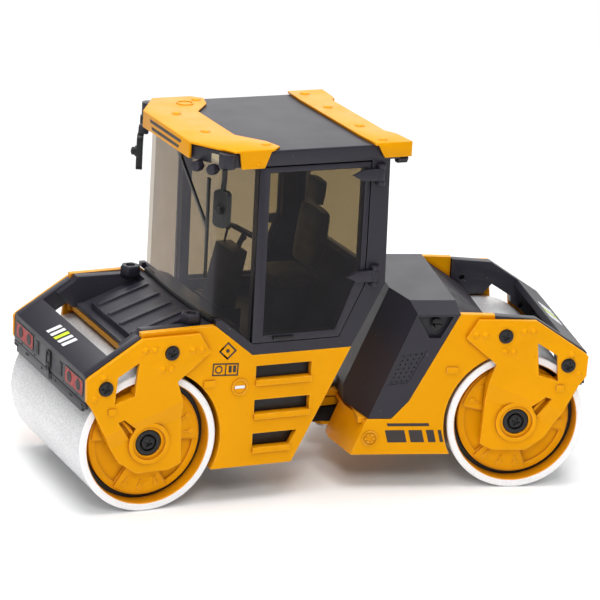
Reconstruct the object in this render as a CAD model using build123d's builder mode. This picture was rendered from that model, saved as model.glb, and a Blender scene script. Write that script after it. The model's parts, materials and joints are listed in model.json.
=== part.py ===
from build123d import *
import os
from math import cos, radians, sin

os.makedirs("parts", exist_ok=True)

# Toy tandem road roller, millimetres. +X forward, +Y to the driver's left, +Z up.
# The origin is on the ground, on the front half's mid plane, halfway between the drum axles when steered
# straight.
# At rest the rear half is steered by REST_STEER. Its pieces are drawn straight and turned as they are saved.
# Side outlines are (x, z) points; the axles are at X = AXLE_X and X = -AXLE_X, Z = AXLE_Z.

# ---- driving dimensions ----
DRUM_RADIUS = 16.5
DRUM_BORE_RADIUS = 14.7
DRUM_HALF_WIDTH = 23.4
WHEELBASE = 96.2
AXLE_X = WHEELBASE / 2
AXLE_Z = DRUM_RADIUS
WALL_Y = 23.9          # outer face of the side walls
WALL_INNER_Y = 22.3
ARM_Y = 24.9           # outer face of the drum arms
ARM_INNER_Y = 21.9
ARM_BOSS_RADIUS = 14.2  # the arm is thick only inside the drum's open end
ARCH_RADIUS = 17.5     # wheel arch, concentric with the drum
SHEET = 1.4            # thickness of moulded inner walls
GROUND_CLEARANCE = 8.6
DECK_Z = 35.5          # the cab sits on this level
ROOF_UNDER_Z = 80.0
ROOF_TOP_Z = 83.5
TRIM_TOP_Z = 84.1      # top of the roof trims
PIVOT_X = -7.4         # articulation pin
REST_STEER = -13.95    # degrees about the pin, from straight
AXLE_RADIUS = 1.5
AXLE_HOLE_RADIUS = 3.15
RUNNING_GAP = 0.05     # radial clearance of turning parts
SCREW_RADIUS = 0.7
SCREW_HEAD_RADIUS = 1.65
COVER_Y = 23.8         # half width of the dark end covers
COVER_RAIL_Y = 21.3


# ---- helpers ----
def side(y):
    """Sketch plane at Y = y whose local axes are (x, z); a positive extrusion runs towards -Y."""
    return Plane.XZ.offset(-y)


def across(*points, half_width):
    """Extrude a side outline across the machine, into the part being built."""
    with BuildSketch(side(half_width)) as profile:
        Polygon(*points, align=None)
    extrude(profile.sketch, amount=2 * half_width)


def side_prism(points, low, high, mode=Mode.ADD):
    """Extrude a side outline between Y = low and Y = high, into the part being built."""
    with BuildSketch(side(high)) as profile:
        Polygon(*points, align=None)
    extrude(profile.sketch, amount=high - low, mode=mode)


def rod_y(x, z, radius, low, high, mode=Mode.ADD):
    """Round bar along Y, into the part being built."""
    with BuildSketch(side(high)) as profile:
        with Locations((x, z)):
            Circle(radius)
    extrude(profile.sketch, amount=high - low, mode=mode)


def rod_z(x, y, radius, low, high, mode=Mode.ADD):
    """Round bar along Z, into the part being built."""
    with BuildSketch(Plane.XY.offset(low)) as profile:
        with Locations((x, y)):
            Circle(radius)
    extrude(profile.sketch, amount=high - low, mode=mode)


def box(x, y, z, mode=Mode.ADD):
    """Box between the low and high values of each axis, into the part being built."""
    with BuildSketch(Plane.XY.offset(z[0])) as profile:
        with Locations(((x[0] + x[1]) / 2, (y[0] + y[1]) / 2)):
            Rectangle(x[1] - x[0], y[1] - y[0])
    extrude(profile.sketch, amount=z[1] - z[0], mode=mode)


def save(builder, name):
    builder.part.label = name
    export_step(builder.part, f"parts/{name}.step")


def save_rear(builder, name):
    """Save a piece of the rear half, turned about the articulation pin to its place at rest."""
    turned = builder.part.rotate(Axis((PIVOT_X, 0, 0), (0, 0, 1)), REST_STEER)
    turned.label = name
    export_step(turned, f"parts/{name}.step")


def save_half(builder, name, half):
    """Save a piece that both halves have, under the half's name."""
    if half == "rear":
        save_rear(builder, f"rear_{name}")
    else:
        save(builder, f"front_{name}")


# ---- drums ----
DISC_RADIUS = 13.4
DISC_FACE_Y = 20.9
DISC_STEP_Y = 18.1      # a deep gap runs round the disc, down to this level
DISC_BACK_Y = 17.2
HUB_RADIUS = 4.6
HUB_FACE_Y = 21.6
PLATE_COUNT = 3         # raised plates round the disc, with pockets between them
PLATE_RADIUS = 12.9
PLATE_FLARE = 7.6       # half width of a plate at the disc's edge
PLATE_HEIGHT = 0.45
PLATE_SLOT_RADIUS = 8.6
POCKET_FLARE = 7.2
POCKET_OUTER_RADIUS = 11.9
POCKET_INNER_RADIUS = 4.8
POCKET_DEPTH_Y = 0.6
STUD_RADIUS_AT = 11.3
STUD_HEIGHT = 0.2
STUD_RADIUS = 0.62
STUD_SPREAD = 20        # degrees between the studs of one plate
STUD_TAIL = 1.0         # each stud's short rib lies this far inwards
FRONT_PLATE_ANGLE = -86
REAR_PLATE_ANGLE = -76


def build_drum(name, axle_x, plate_angle):
    axle_plane = side(DRUM_HALF_WIDTH)
    with BuildPart() as shell:
        with BuildSketch(axle_plane):
            with Locations((axle_x, AXLE_Z)):
                Circle(DRUM_RADIUS)
                Circle(DRUM_BORE_RADIUS, mode=Mode.SUBTRACT)
        extrude(amount=2 * DRUM_HALF_WIDTH)
        chamfer(shell.edges().filter_by(GeomType.CIRCLE), 0.25)
    save_half(shell, "drum_shell", name)

    with BuildPart() as discs:
        rod_y(axle_x, AXLE_Z, DRUM_BORE_RADIUS - 0.02, DISC_BACK_Y, DISC_STEP_Y)
        rod_y(axle_x, AXLE_Z, DISC_RADIUS, DISC_STEP_Y, DISC_FACE_Y)
        with BuildSketch(side(DISC_FACE_Y)):
            with Locations((axle_x, AXLE_Z)):
                with PolarLocations(0, PLATE_COUNT, start_angle=plate_angle + 180 / PLATE_COUNT):
                    Polygon((0, 0), (DISC_RADIUS, -POCKET_FLARE), (DISC_RADIUS, POCKET_FLARE), align=None)
                Circle(POCKET_OUTER_RADIUS, mode=Mode.INTERSECT)
                Circle(POCKET_INNER_RADIUS, mode=Mode.SUBTRACT)
        extrude(amount=POCKET_DEPTH_Y, mode=Mode.SUBTRACT)
        with BuildSketch(side(DISC_FACE_Y + PLATE_HEIGHT)):
            with Locations((axle_x, AXLE_Z)):
                with PolarLocations(0, PLATE_COUNT, start_angle=plate_angle):
                    Polygon((0, 0), (DISC_RADIUS, -PLATE_FLARE), (DISC_RADIUS, PLATE_FLARE), align=None)
                Circle(PLATE_RADIUS, mode=Mode.INTERSECT)
        extrude(amount=PLATE_HEIGHT + 0.2)
        with BuildSketch(side(DISC_FACE_Y + PLATE_HEIGHT)):
            with Locations((axle_x, AXLE_Z)):
                with PolarLocations(0, PLATE_COUNT, start_angle=plate_angle):
                    SlotArc(CenterArc((0, 0), PLATE_SLOT_RADIUS, -14, 28), 1.3)
        extrude(amount=PLATE_HEIGHT + 0.7, mode=Mode.SUBTRACT)
        rod_y(axle_x, AXLE_Z, HUB_RADIUS, DISC_FACE_Y - 1, HUB_FACE_Y)
        with BuildSketch(side(DISC_FACE_Y + PLATE_HEIGHT + STUD_HEIGHT)):
            with Locations((axle_x, AXLE_Z)):
                for spread in (-STUD_SPREAD, 0, STUD_SPREAD):
                    with PolarLocations(STUD_RADIUS_AT, PLATE_COUNT, start_angle=plate_angle + spread):
                        Circle(STUD_RADIUS)
                    tail_radius = STUD_RADIUS_AT - STUD_TAIL
                    with PolarLocations(tail_radius, PLATE_COUNT, start_angle=plate_angle + spread):
                        Rectangle(1.5, 0.4)
        extrude(amount=STUD_HEIGHT + 0.2)
        rod_y(axle_x, AXLE_Z, AXLE_RADIUS + RUNNING_GAP, DISC_BACK_Y, HUB_FACE_Y, Mode.SUBTRACT)
        mirror(about=Plane.XZ)
    save_half(discs, "drum_discs", name)


# ---- axles, bushes and their screws, fixed to the arms ----
BUSH_OUTER_RADIUS = 2.95
BUSH_LOW_Y = 21.75
BUSH_FACE_Y = 23.5
AXLE_END_Y = 22.2
AXLE_SCREW_SEAT_Y = 22.7


def cross_recess(x, z, face_y, size, depth):
    """Cross-head driver recess in a screw head whose face is at Y = face_y."""
    with BuildSketch(side(face_y)) as profile:
        with Locations((x, z)):
            Rectangle(size, size * 0.28, rotation=20)
            Rectangle(size * 0.28, size, rotation=20)
    extrude(profile.sketch, amount=depth, mode=Mode.SUBTRACT)


def build_axle(name, axle_x):
    with BuildPart() as axle:
        rod_y(axle_x, AXLE_Z, AXLE_RADIUS, -AXLE_END_Y, AXLE_END_Y)
        for low, high in ((AXLE_END_Y - 6, AXLE_END_Y), (-AXLE_END_Y, -AXLE_END_Y + 6)):
            rod_y(axle_x, AXLE_Z, SCREW_RADIUS + 0.02, low, high, Mode.SUBTRACT)
    save_half(axle, "axle", name)

    with BuildPart() as bushes:
        rod_y(axle_x, AXLE_Z, BUSH_OUTER_RADIUS, BUSH_LOW_Y, BUSH_FACE_Y)
        rod_y(axle_x, AXLE_Z, AXLE_RADIUS + 0.02, BUSH_LOW_Y, AXLE_END_Y, Mode.SUBTRACT)
        rod_y(axle_x, AXLE_Z, SCREW_RADIUS + 0.1, AXLE_END_Y, BUSH_FACE_Y, Mode.SUBTRACT)
        rod_y(axle_x, AXLE_Z, SCREW_HEAD_RADIUS + 0.35, AXLE_SCREW_SEAT_Y, BUSH_FACE_Y, Mode.SUBTRACT)
        mirror(about=Plane.XZ)
    save_half(bushes, "axle_bushes", name)

    with BuildPart() as screws:
        rod_y(axle_x, AXLE_Z, SCREW_RADIUS, AXLE_END_Y - 5, AXLE_SCREW_SEAT_Y)
        rod_y(axle_x, AXLE_Z, SCREW_HEAD_RADIUS, AXLE_SCREW_SEAT_Y, AXLE_SCREW_SEAT_Y + 1.0)
        fillet(screws.edges().filter_by(GeomType.CIRCLE).sort_by(Axis.Y)[-1], 0.4)
        cross_recess(axle_x, AXLE_Z, AXLE_SCREW_SEAT_Y + 1.0, 2.0, 0.6)
        mirror(about=Plane.XZ)
    save_half(screws, "axle_screws", name)


# ---- drum arms: one plate on each side of each drum, as (outward from the axle, above the axle) ----
ARM_OUTLINE = [
    (15.3, 17.2), (16.0, 16.5), (15.9, 11.6), (14.3, 9.4), (9.6, 0.0), (7.0, -4.2), (2.8, -7.1),
    (-5.1, -7.0), (-8.2, -5.6), (-7.6, 9.5), (-6.0, 14.5), (-13.7, 20.9), (-10.9, 25.5), (2.8, 25.3),
]
ARM_WINDOW = [(8.5, 16.7), (3.5, 19.8), (4.3, 11.9), (9.1, 10.4)]
RAIL_OPENING = [(8.5, 16.7), (3.5, 19.8), (0.3, 15.9), (4.3, 11.9), (9.1, 10.4)]   # in the rail inside it
ARM_SCREWS = [(-4.3, 21.5), (11.3, 14.3)]
ARM_RIVETS = [
    (2.2, 22.7), (0.0, 22.6), (-9.3, 21.8), (-11.5, 21.8),
    (-2.2, 17.8), (-4.3, 17.8), (11.9, 17.0), (13.9, 12.1),
]
ARM_BADGE = (9.7, 8.7)
HOSE_POCKET = [(4.9, 1.4), (8.0, 5.9), (6.5, 6.5), (3.4, 3.9)]
CREASE_POINT = (8.5, 3.9)
CREASE_ANGLE = 20.2     # the bend rises towards the machine's middle
BEND_DEPTH = 1.3
BEND_RUN = 4.1
HUB_RING_RADIUS = 4.9
HUB_RING_Y = 24.2
HUB_RECESS_RADIUS = 4.0
HUB_RECESS_Y = 23.6
RIVET_RADIUS = 0.85
RIVET_HEIGHT = 0.45
RIVET_ROOT = 0.1        # sunk into the plate it stands on
TAG_HEIGHT = 0.35


def rivet_y(x, z, face_y):
    """Round-headed rivet standing on a side face."""
    with BuildSketch(Plane(origin=(x, face_y, z), x_dir=(1, 0, 0), z_dir=(0, 0, 1))) as half:
        with BuildLine():
            TangentArc((0, RIVET_HEIGHT), (RIVET_RADIUS, 0), tangent=(1, 0))
            Polyline((RIVET_RADIUS, 0), (RIVET_RADIUS, -RIVET_ROOT), (0, -RIVET_ROOT), (0, RIVET_HEIGHT))
        make_face()
    revolve(half.sketch, axis=Axis((x, face_y, z), (0, 1, 0)))


def build_arm(name, direction):
    """Left arm of one drum; direction is +1 at the front and -1 at the rear."""

    def place(points):
        return [(direction * (AXLE_X + u), AXLE_Z + v) for u, v in points]

    crease_x, crease_z = place([CREASE_POINT])[0]
    along = (-direction * cos(radians(CREASE_ANGLE)), 0, sin(radians(CREASE_ANGLE)))
    down = (-direction * sin(radians(CREASE_ANGLE)), 0, -cos(radians(CREASE_ANGLE)))
    bend_plane = Plane(origin=(crease_x, ARM_Y, crease_z), x_dir=down, z_dir=along)
    inward = -bend_plane.y_dir.Y
    with BuildPart() as arm:
        side_prism(place(ARM_OUTLINE), ARM_INNER_Y, ARM_Y)
        with BuildSketch(side(WALL_Y)):
            with Locations((direction * AXLE_X, AXLE_Z)):
                Circle(40)
                Circle(ARM_BOSS_RADIUS, mode=Mode.SUBTRACT)
        extrude(amount=WALL_Y - ARM_INNER_Y, mode=Mode.SUBTRACT)
        with BuildSketch(bend_plane):
            Polygon(
                (0, 0), (BEND_RUN, inward * BEND_DEPTH), (30, inward * BEND_DEPTH),
                (30, -inward * 3), (0, -inward * 3), align=None,
            )
        extrude(amount=30, both=True, mode=Mode.SUBTRACT)
        rod_y(direction * AXLE_X, AXLE_Z, HUB_RING_RADIUS, HUB_RING_Y - 1.5, HUB_RING_Y)
        side_prism(place(HOSE_POCKET), ARM_Y - BEND_DEPTH - 0.6, ARM_Y, Mode.SUBTRACT)
        rod_y(direction * AXLE_X, AXLE_Z, HUB_RECESS_RADIUS, HUB_RECESS_Y, ARM_Y, Mode.SUBTRACT)
        rod_y(direction * AXLE_X, AXLE_Z, AXLE_HOLE_RADIUS, ARM_INNER_Y - 1, ARM_Y, Mode.SUBTRACT)
        side_prism(place(ARM_WINDOW), ARM_INNER_Y, ARM_Y, Mode.SUBTRACT)
        for x, z in place(ARM_RIVETS):
            rivet_y(x, z, ARM_Y)
        badge_x, badge_z = place([ARM_BADGE])[0]
        box((badge_x - 0.9, badge_x + 0.9), (ARM_Y - 0.1, ARM_Y + TAG_HEIGHT),
            (badge_z - 0.75, badge_z + 0.75))
        for x, z in place(ARM_SCREWS):
            rod_y(x, z, SCREW_RADIUS + 0.1, ARM_INNER_Y, ARM_Y, Mode.SUBTRACT)
            rod_y(x, z, SCREW_HEAD_RADIUS + 0.1, ARM_Y - 0.5, ARM_Y + 1, Mode.SUBTRACT)
    save_half(arm, "left_arm", name)
    with BuildPart() as twin:
        mirror(arm.part, about=Plane.XZ)
    save_half(twin, "right_arm", name)

    with BuildPart() as screws:
        for x, z in place(ARM_SCREWS):
            rod_y(x, z, SCREW_RADIUS, ARM_Y - 2.5, ARM_Y - 0.5)
            rod_y(x, z, SCREW_HEAD_RADIUS, ARM_Y - 0.5, ARM_Y + 0.35)
            cross_recess(x, z, ARM_Y + 0.35, 2.0, 0.5)
        mirror(about=Plane.XZ)
    save_half(screws, "arm_screws", name)


# ---- end covers: dark mouldings that join the two arms over a drum ----
BAR_FACE_X = 63.9
BAR_SEAM_Z = 27.4
BAR_BOTTOM_Z = 24.9
BAR_TOP_FRONT = (63.9, 33.7)
BAR_TOP_BACK = (58.1, 37.4)
FRONT_RAIL_END = [(51.2, 41.84)]
REAR_RAIL_END = [(51.1, 41.9), (41.2, 42.6)]
RAIL_TOP_Z = 42.9
COVER_GAP_RADIUS = 17.3
BAR_SECTION = [
    BAR_TOP_FRONT, BAR_TOP_BACK, (57.3, 36.1), (62.4, 32.8), (62.4, BAR_SEAM_Z + 0.3),
    (63.1, BAR_SEAM_Z - 0.3), (63.2, BAR_BOTTOM_Z), (BAR_FACE_X, BAR_BOTTOM_Z),
]
APRON_NOTCH = [(62.0, 24.0), (64.5, 24.0), (64.5, 26.0), (62.0, 26.0)]
LAMP_PANEL_Y = (10.8, 22.2)
LAMP_PANEL_Z = (28.6, 32.2)
LAMP_RECESS = 0.4
LAMP_CENTRES_Y = (13.6, 19.2)
LAMP_RADIUS = 1.2
LAMP_Z = 30.4
LAMP_FACE_X = 64.0
LENS_FACE_X = 64.1


def scale_x(points, direction):
    return [(direction * x, z) for x, z in points]


def add_bar_and_rails(direction, rail_end):
    """Cross bar with a sloped top, and the two rails that run back from it to the points of rail_end."""
    across(*scale_x(BAR_SECTION, direction), half_width=COVER_Y)
    rail = [
        BAR_TOP_FRONT, *rail_end, (rail_end[-1][0], 30.0),
        (60.0, 24.0), (62.4, BAR_SEAM_Z + 0.3), (BAR_FACE_X - 0.8, BAR_SEAM_Z + 0.3),
    ]
    for low, high in ((COVER_RAIL_Y, COVER_Y), (-COVER_Y, -COVER_RAIL_Y)):
        with BuildSketch(side(high)) as profile:
            Polygon(*scale_x(rail, direction), align=None)
            with Locations((direction * AXLE_X, AXLE_Z)):
                Circle(COVER_GAP_RADIUS, mode=Mode.SUBTRACT)
            opening = [(direction * (AXLE_X + u), AXLE_Z + v) for u, v in RAIL_OPENING]
            Polygon(*opening, align=None, mode=Mode.SUBTRACT)
        extrude(profile.sketch, amount=high - low)
    for sign in (1, -1):
        y = sign * (COVER_Y - 0.9)
        side_prism(scale_x(APRON_NOTCH, direction), y - 1.0, y + 1.0, Mode.SUBTRACT)
    for u, v in ARM_SCREWS:
        x = direction * (AXLE_X + u)
        rod_y(x, AXLE_Z + v, SCREW_RADIUS + 0.02, -COVER_Y, COVER_Y, Mode.SUBTRACT)
    face = direction * BAR_FACE_X
    recess = sorted((face, face - direction * LAMP_RECESS))
    for low, high in (LAMP_PANEL_Y, (-LAMP_PANEL_Y[1], -LAMP_PANEL_Y[0])):
        box(recess, (low, high), LAMP_PANEL_Z, Mode.SUBTRACT)
    groove = sorted((face, face - direction * 0.3))
    box(groove, (-COVER_Y, COVER_Y), (BAR_SEAM_Z - 0.12, BAR_SEAM_Z + 0.12), Mode.SUBTRACT)


def build_lamps():
    back = BAR_FACE_X - LAMP_RECESS
    lens_plane = Plane(origin=(back, 0, LAMP_Z), x_dir=(0, 1, 0), z_dir=(1, 0, 0))
    with BuildPart() as panels:
        box((back, LAMP_FACE_X), (LAMP_PANEL_Y[0] + 0.05, LAMP_PANEL_Y[1] - 0.05),
            (LAMP_PANEL_Z[0] + 0.05, LAMP_PANEL_Z[1] - 0.05))
        with BuildSketch(lens_plane):
            with Locations(*[(y, 0) for y in LAMP_CENTRES_Y]):
                Circle(LAMP_RADIUS + 0.05)
        extrude(amount=1, mode=Mode.SUBTRACT)
        mirror(about=Plane.XZ)
    save(panels, "front_lamp_panels")
    with BuildPart() as lenses:
        with BuildSketch(lens_plane):
            with Locations(*[(y, 0) for y in LAMP_CENTRES_Y]):
                Circle(LAMP_RADIUS)
        extrude(amount=LENS_FACE_X - back)
        mirror(about=Plane.XZ)
    save(lenses, "front_lamp_lenses")


# ---- front half: body ----
FRONT_WALL = [
    (51.0, 42.9), (33.1, 43.2), (23.6, DECK_Z), (-1.2, DECK_Z), (12.4, GROUND_CLEARANCE),
    (32.5, GROUND_CLEARANCE), (51.0, 33.0),
]
REAR_SLOPE = -13.6 / 26.9      # lean of the front body's back edge
SLOT_X = (8.6, 22.5)
SLOT_TOPS_Z = (32.8, 24.6, 16.4)
SLOT_HEIGHT = 3.4
LOWEST_SLOT_BACK_X = 11.4
SILL_HEIGHT = 1.3
SILL_DEPTH = 0.55
BADGE_CENTRE = (26.4, 28.1)
BADGE_RADIUS = 2.0
BADGE_RING_WIDTH = 0.4
FRONT_BELLY_SCREW_X = (16.0, 29.0)
REAR_BELLY_SCREW_X = (-14.0, -28.0)
FRONT_TAG_CENTRE = (34.0, 29.5)
TONGUE_Z = (9.8, 13.2)
TONGUE_HALF_WIDTH = 3.6
UPPER_LUG_Z = (13.6, 15.6)
PIN_RADIUS = 1.5
BELLY_SCREW_Y = 16.0
BELLY_THICKNESS = 1.0
BELLY_POST_RADIUS = 1.8


def slot_outline(top_z):
    back_low = SLOT_X[0]
    back_high = SLOT_X[0]
    if top_z == SLOT_TOPS_Z[-1]:
        back_high = LOWEST_SLOT_BACK_X
        back_low = LOWEST_SLOT_BACK_X - REAR_SLOPE * SLOT_HEIGHT
    low_z = top_z - SLOT_HEIGHT
    return [(SLOT_X[1], top_z), (back_high, top_z), (back_low, low_z), (SLOT_X[1], low_z)]


def arch_panel(centre_x, region):
    """Mudguard panel concentric with the drum, cut to a side region, between the walls."""
    with BuildSketch(side(WALL_INNER_Y + 0.2)) as profile:
        with Locations((centre_x, AXLE_Z)):
            Circle(ARCH_RADIUS + SHEET)
            Circle(ARCH_RADIUS, mode=Mode.SUBTRACT)
        Polygon(*region, align=None, mode=Mode.INTERSECT)
    extrude(profile.sketch, amount=2 * (WALL_INNER_Y + 0.2))


def wall_with_arch(points, centre_x, low, high):
    with BuildSketch(side(high)) as profile:
        Polygon(*points, align=None)
        with Locations((centre_x, AXLE_Z)):
            Circle(ARCH_RADIUS, mode=Mode.SUBTRACT)
    extrude(profile.sketch, amount=high - low)


def build_front_frame():
    with BuildPart() as frame:
        wall_with_arch(FRONT_WALL, AXLE_X, WALL_INNER_Y, WALL_Y)
        for top_z in SLOT_TOPS_Z:
            side_prism(slot_outline(top_z), WALL_INNER_Y, WALL_Y, Mode.SUBTRACT)
            sill_top = top_z - SLOT_HEIGHT
            sill_back = slot_outline(top_z)[2][0]
            box((sill_back, SLOT_X[1]), (WALL_Y - 0.2, WALL_Y + SILL_DEPTH),
                (sill_top - SILL_HEIGHT, sill_top))
        rod_y(*BADGE_CENTRE, BADGE_RADIUS, WALL_Y - 0.1, WALL_Y + 0.3)
        rod_y(*BADGE_CENTRE, BADGE_RADIUS - BADGE_RING_WIDTH, WALL_Y + 0.1, WALL_Y + 0.4, Mode.SUBTRACT)
        tag_x, tag_z = FRONT_TAG_CENTRE
        box((tag_x - 1.35, tag_x + 1.35), (WALL_Y - 0.1, WALL_Y + TAG_HEIGHT), (tag_z - 0.75, tag_z + 0.75))
        screw_u, screw_v = ARM_SCREWS[0]
        rod_y(AXLE_X + screw_u, AXLE_Z + screw_v, SCREW_RADIUS + 0.02, 20, WALL_Y, Mode.SUBTRACT)
        mirror(about=Plane.XZ)
        arch_panel(AXLE_X, [(20, GROUND_CLEARANCE), (32.5, GROUND_CLEARANCE), (AXLE_X, AXLE_Z), (51.0, 40),
                            (20, 40)])
        across((-0.6, DECK_Z), (42.0, DECK_Z), (42.0, DECK_Z - SHEET), (-0.6, DECK_Z - SHEET),
               half_width=WALL_INNER_Y + 0.2)
        across((-1.2, DECK_Z), (0.3, DECK_Z), (13.9, GROUND_CLEARANCE), (12.4, GROUND_CLEARANCE),
               half_width=WALL_INNER_Y + 0.2)
        box((PIVOT_X + 0.5, 10.5), (-3.2, 3.2), UPPER_LUG_Z)
        rod_z(PIVOT_X, 0, 3.2, *UPPER_LUG_Z)
        rod_z(PIVOT_X, 0, PIN_RADIUS + RUNNING_GAP, *UPPER_LUG_Z, Mode.SUBTRACT)
        box((8.5, 13.8), (-TONGUE_HALF_WIDTH - 0.1, TONGUE_HALF_WIDTH + 0.1), (8.0, TONGUE_Z[1] + 0.1),
            Mode.SUBTRACT)
        for x in FRONT_BELLY_SCREW_X:
            for y in (BELLY_SCREW_Y, -BELLY_SCREW_Y):
                rod_z(x, y, BELLY_POST_RADIUS, GROUND_CLEARANCE + BELLY_THICKNESS + 0.05, DECK_Z - 0.5)
                rod_z(x, y, SCREW_RADIUS + 0.02, GROUND_CLEARANCE + 1.0, 16.0, Mode.SUBTRACT)
        rod_y(AXLE_X, AXLE_Z, ARCH_RADIUS, -WALL_INNER_Y, WALL_INNER_Y, Mode.SUBTRACT)
    save(frame, "front_frame")

    with BuildPart() as liner:
        with BuildSketch(side(WALL_INNER_Y - 0.05)):
            Polygon((24.2, 33.6), (2.0, 33.6), (12.6, 12.2), (24.2, 12.2), align=None)
        extrude(amount=0.8)
        mirror(about=Plane.XZ)
    save(liner, "front_slot_liners")

    with BuildPart() as belly:
        box((14.1, 31.8), (-WALL_INNER_Y + 0.1, WALL_INNER_Y - 0.1),
            (GROUND_CLEARANCE, GROUND_CLEARANCE + BELLY_THICKNESS))
        box((12, 20.0), (-TONGUE_HALF_WIDTH - 0.2, TONGUE_HALF_WIDTH + 0.2), (8, 10), Mode.SUBTRACT)
        for x in FRONT_BELLY_SCREW_X:
            for y in (BELLY_SCREW_Y, -BELLY_SCREW_Y):
                rod_z(x, y, SCREW_RADIUS + 0.1, 8, 10, Mode.SUBTRACT)
                rod_z(x, y, SCREW_HEAD_RADIUS + 0.1, 8, GROUND_CLEARANCE + 0.5, Mode.SUBTRACT)
        rod_y(AXLE_X, AXLE_Z, ARCH_RADIUS + SHEET + 0.05, -WALL_Y, WALL_Y, Mode.SUBTRACT)
    save(belly, "front_belly_plate")
    build_belly_screws("front", FRONT_BELLY_SCREW_X)


def build_belly_screws(name, places_x):
    with BuildPart() as screws:
        for x in places_x:
            for y in (BELLY_SCREW_Y, -BELLY_SCREW_Y):
                rod_z(x, y, SCREW_RADIUS, GROUND_CLEARANCE + 0.5, GROUND_CLEARANCE + 5.5)
                rod_z(x, y, SCREW_HEAD_RADIUS, GROUND_CLEARANCE - 0.3, GROUND_CLEARANCE + 0.5)
                with BuildSketch(Plane.XY.offset(GROUND_CLEARANCE - 0.3)):
                    with Locations((x, y)):
                        Rectangle(2.0, 0.5)
                        Rectangle(0.5, 2.0)
                extrude(amount=0.4, mode=Mode.SUBTRACT)
    save_half(screws, "belly_screws", name)


# ---- front half: cover with hood ----
HOOD_HALF_WIDTH = 14.0
HOOD_RIB_Y = (-10.8, -3.6, 3.6, 10.8)
CAP_CENTRE = (37.2, 18.9)
CAP_TOP_Z = 45.2
BAR_VENT_Y = 7.8


def build_front_cover():
    with BuildPart() as cover:
        add_bar_and_rails(1, FRONT_RAIL_END)
        for low, high in ((19.3, WALL_INNER_Y - 0.1), (-WALL_INNER_Y + 0.1, -19.3)):
            side_prism([(54.9, 39.2), (51.1, 41.7), (50.2, RAIL_TOP_Z), (33.2, RAIL_TOP_Z),
                        (33.2, 40.4), (47.0, 35.6), (51.4, 35.6)], low, high)
        across((50.4, 35.6), (50.4, 36.4), (48.4, 36.7), (35.0, 41.6), (33.2, 41.8), (33.2, 40.4),
               (46.8, 35.6),
               half_width=COVER_RAIL_Y)
        across((48.6, 36.0), (48.6, 38.2), (35.4, 42.9), (33.2, 43.2), (33.2, 41.0), (35.0, 41.0),
               half_width=HOOD_HALF_WIDTH)
        for y in HOOD_RIB_Y:
            side_prism([(48.6, 38.0), (48.1, 38.75), (36.4, 42.95), (35.4, 42.8)], y - 0.6, y + 0.6)
        box((33.0, 35.2), (-19.5, 19.5), (40.6, RAIL_TOP_Z))
        for y in (BAR_VENT_Y, -BAR_VENT_Y):
            box((BAR_FACE_X - 0.2, BAR_FACE_X + 1), (y - 0.8, y + 0.8), (29.0, 32.0), Mode.SUBTRACT)
        box((BAR_FACE_X - 0.1, LENS_FACE_X), (-0.9, 0.9), (BAR_SEAM_Z + 0.3, BAR_SEAM_Z + 3.6))
        box((BAR_FACE_X - 0.1, LENS_FACE_X), (-2.0, 2.0), (BAR_SEAM_Z - 1.6, BAR_SEAM_Z - 0.4))
    save(cover, "front_cover")

    with BuildPart() as caps:
        with BuildSketch(Plane.XY.offset(RAIL_TOP_Z)):
            with Locations(CAP_CENTRE):
                RegularPolygon(2.5, 6)
        extrude(amount=CAP_TOP_Z - RAIL_TOP_Z)
        chamfer(caps.faces().sort_by(Axis.Z)[-1].edges(), 0.3)
        rod_z(*CAP_CENTRE, 1.1, CAP_TOP_Z - 1.5, CAP_TOP_Z, Mode.SUBTRACT)
        mirror(about=Plane.XZ)
    save(caps, "filler_caps")
    build_lamps()


# ---- link between the halves ----
def build_link():
    with BuildPart() as tongue:
        box((PIVOT_X, 19.8), (-TONGUE_HALF_WIDTH, TONGUE_HALF_WIDTH), TONGUE_Z)
        rod_z(PIVOT_X, 0, TONGUE_HALF_WIDTH, *TONGUE_Z)
        rod_z(PIVOT_X, 0, PIN_RADIUS + RUNNING_GAP, *TONGUE_Z, Mode.SUBTRACT)
        box((0.5, 6.5), (-2.2, 2.2), (TONGUE_Z[0], TONGUE_Z[0] + 1.6), Mode.SUBTRACT)
    save(tongue, "link_tongue")

    with BuildPart() as pin:
        rod_z(PIVOT_X, 0, PIN_RADIUS, GROUND_CLEARANCE - 0.1, LEDGE_Z + 2.8)
        rod_z(PIVOT_X, 0, 2.4, GROUND_CLEARANCE - 0.8, GROUND_CLEARANCE)
    save_rear(pin, "pivot_pin")


# ---- rear half: body ----
LEDGE_Z = 17.4          # top of the rear body under the hood
HOOD_LOW_EDGE = [(-32.9, 43.1), (-22.0, 21.8), (-18.0, 17.4), (-12.3, 17.4)]
REAR_WALL = [(-8.9, GROUND_CLEARANCE)] + HOOD_LOW_EDGE[::-1] + [
    (-41.0, 42.9), (-41.0, 36.5), (-41.0, 31.0), (-32.4, GROUND_CLEARANCE),
]
REAR_TAG_CENTRE = (-31.8, 29.4)
BOLT_CIRCLE_CENTRE = (-13.2, 12.6)
REAR_NOSE_X = -5.9
REAR_NOSE_Y = 12.0
REAR_LEAN = -3.4 / 8.8
NOTCH_HALF_WIDTH = 7.5
LUG_THICKNESS = 0.9
LUG_RADIUS = 3.4


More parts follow.
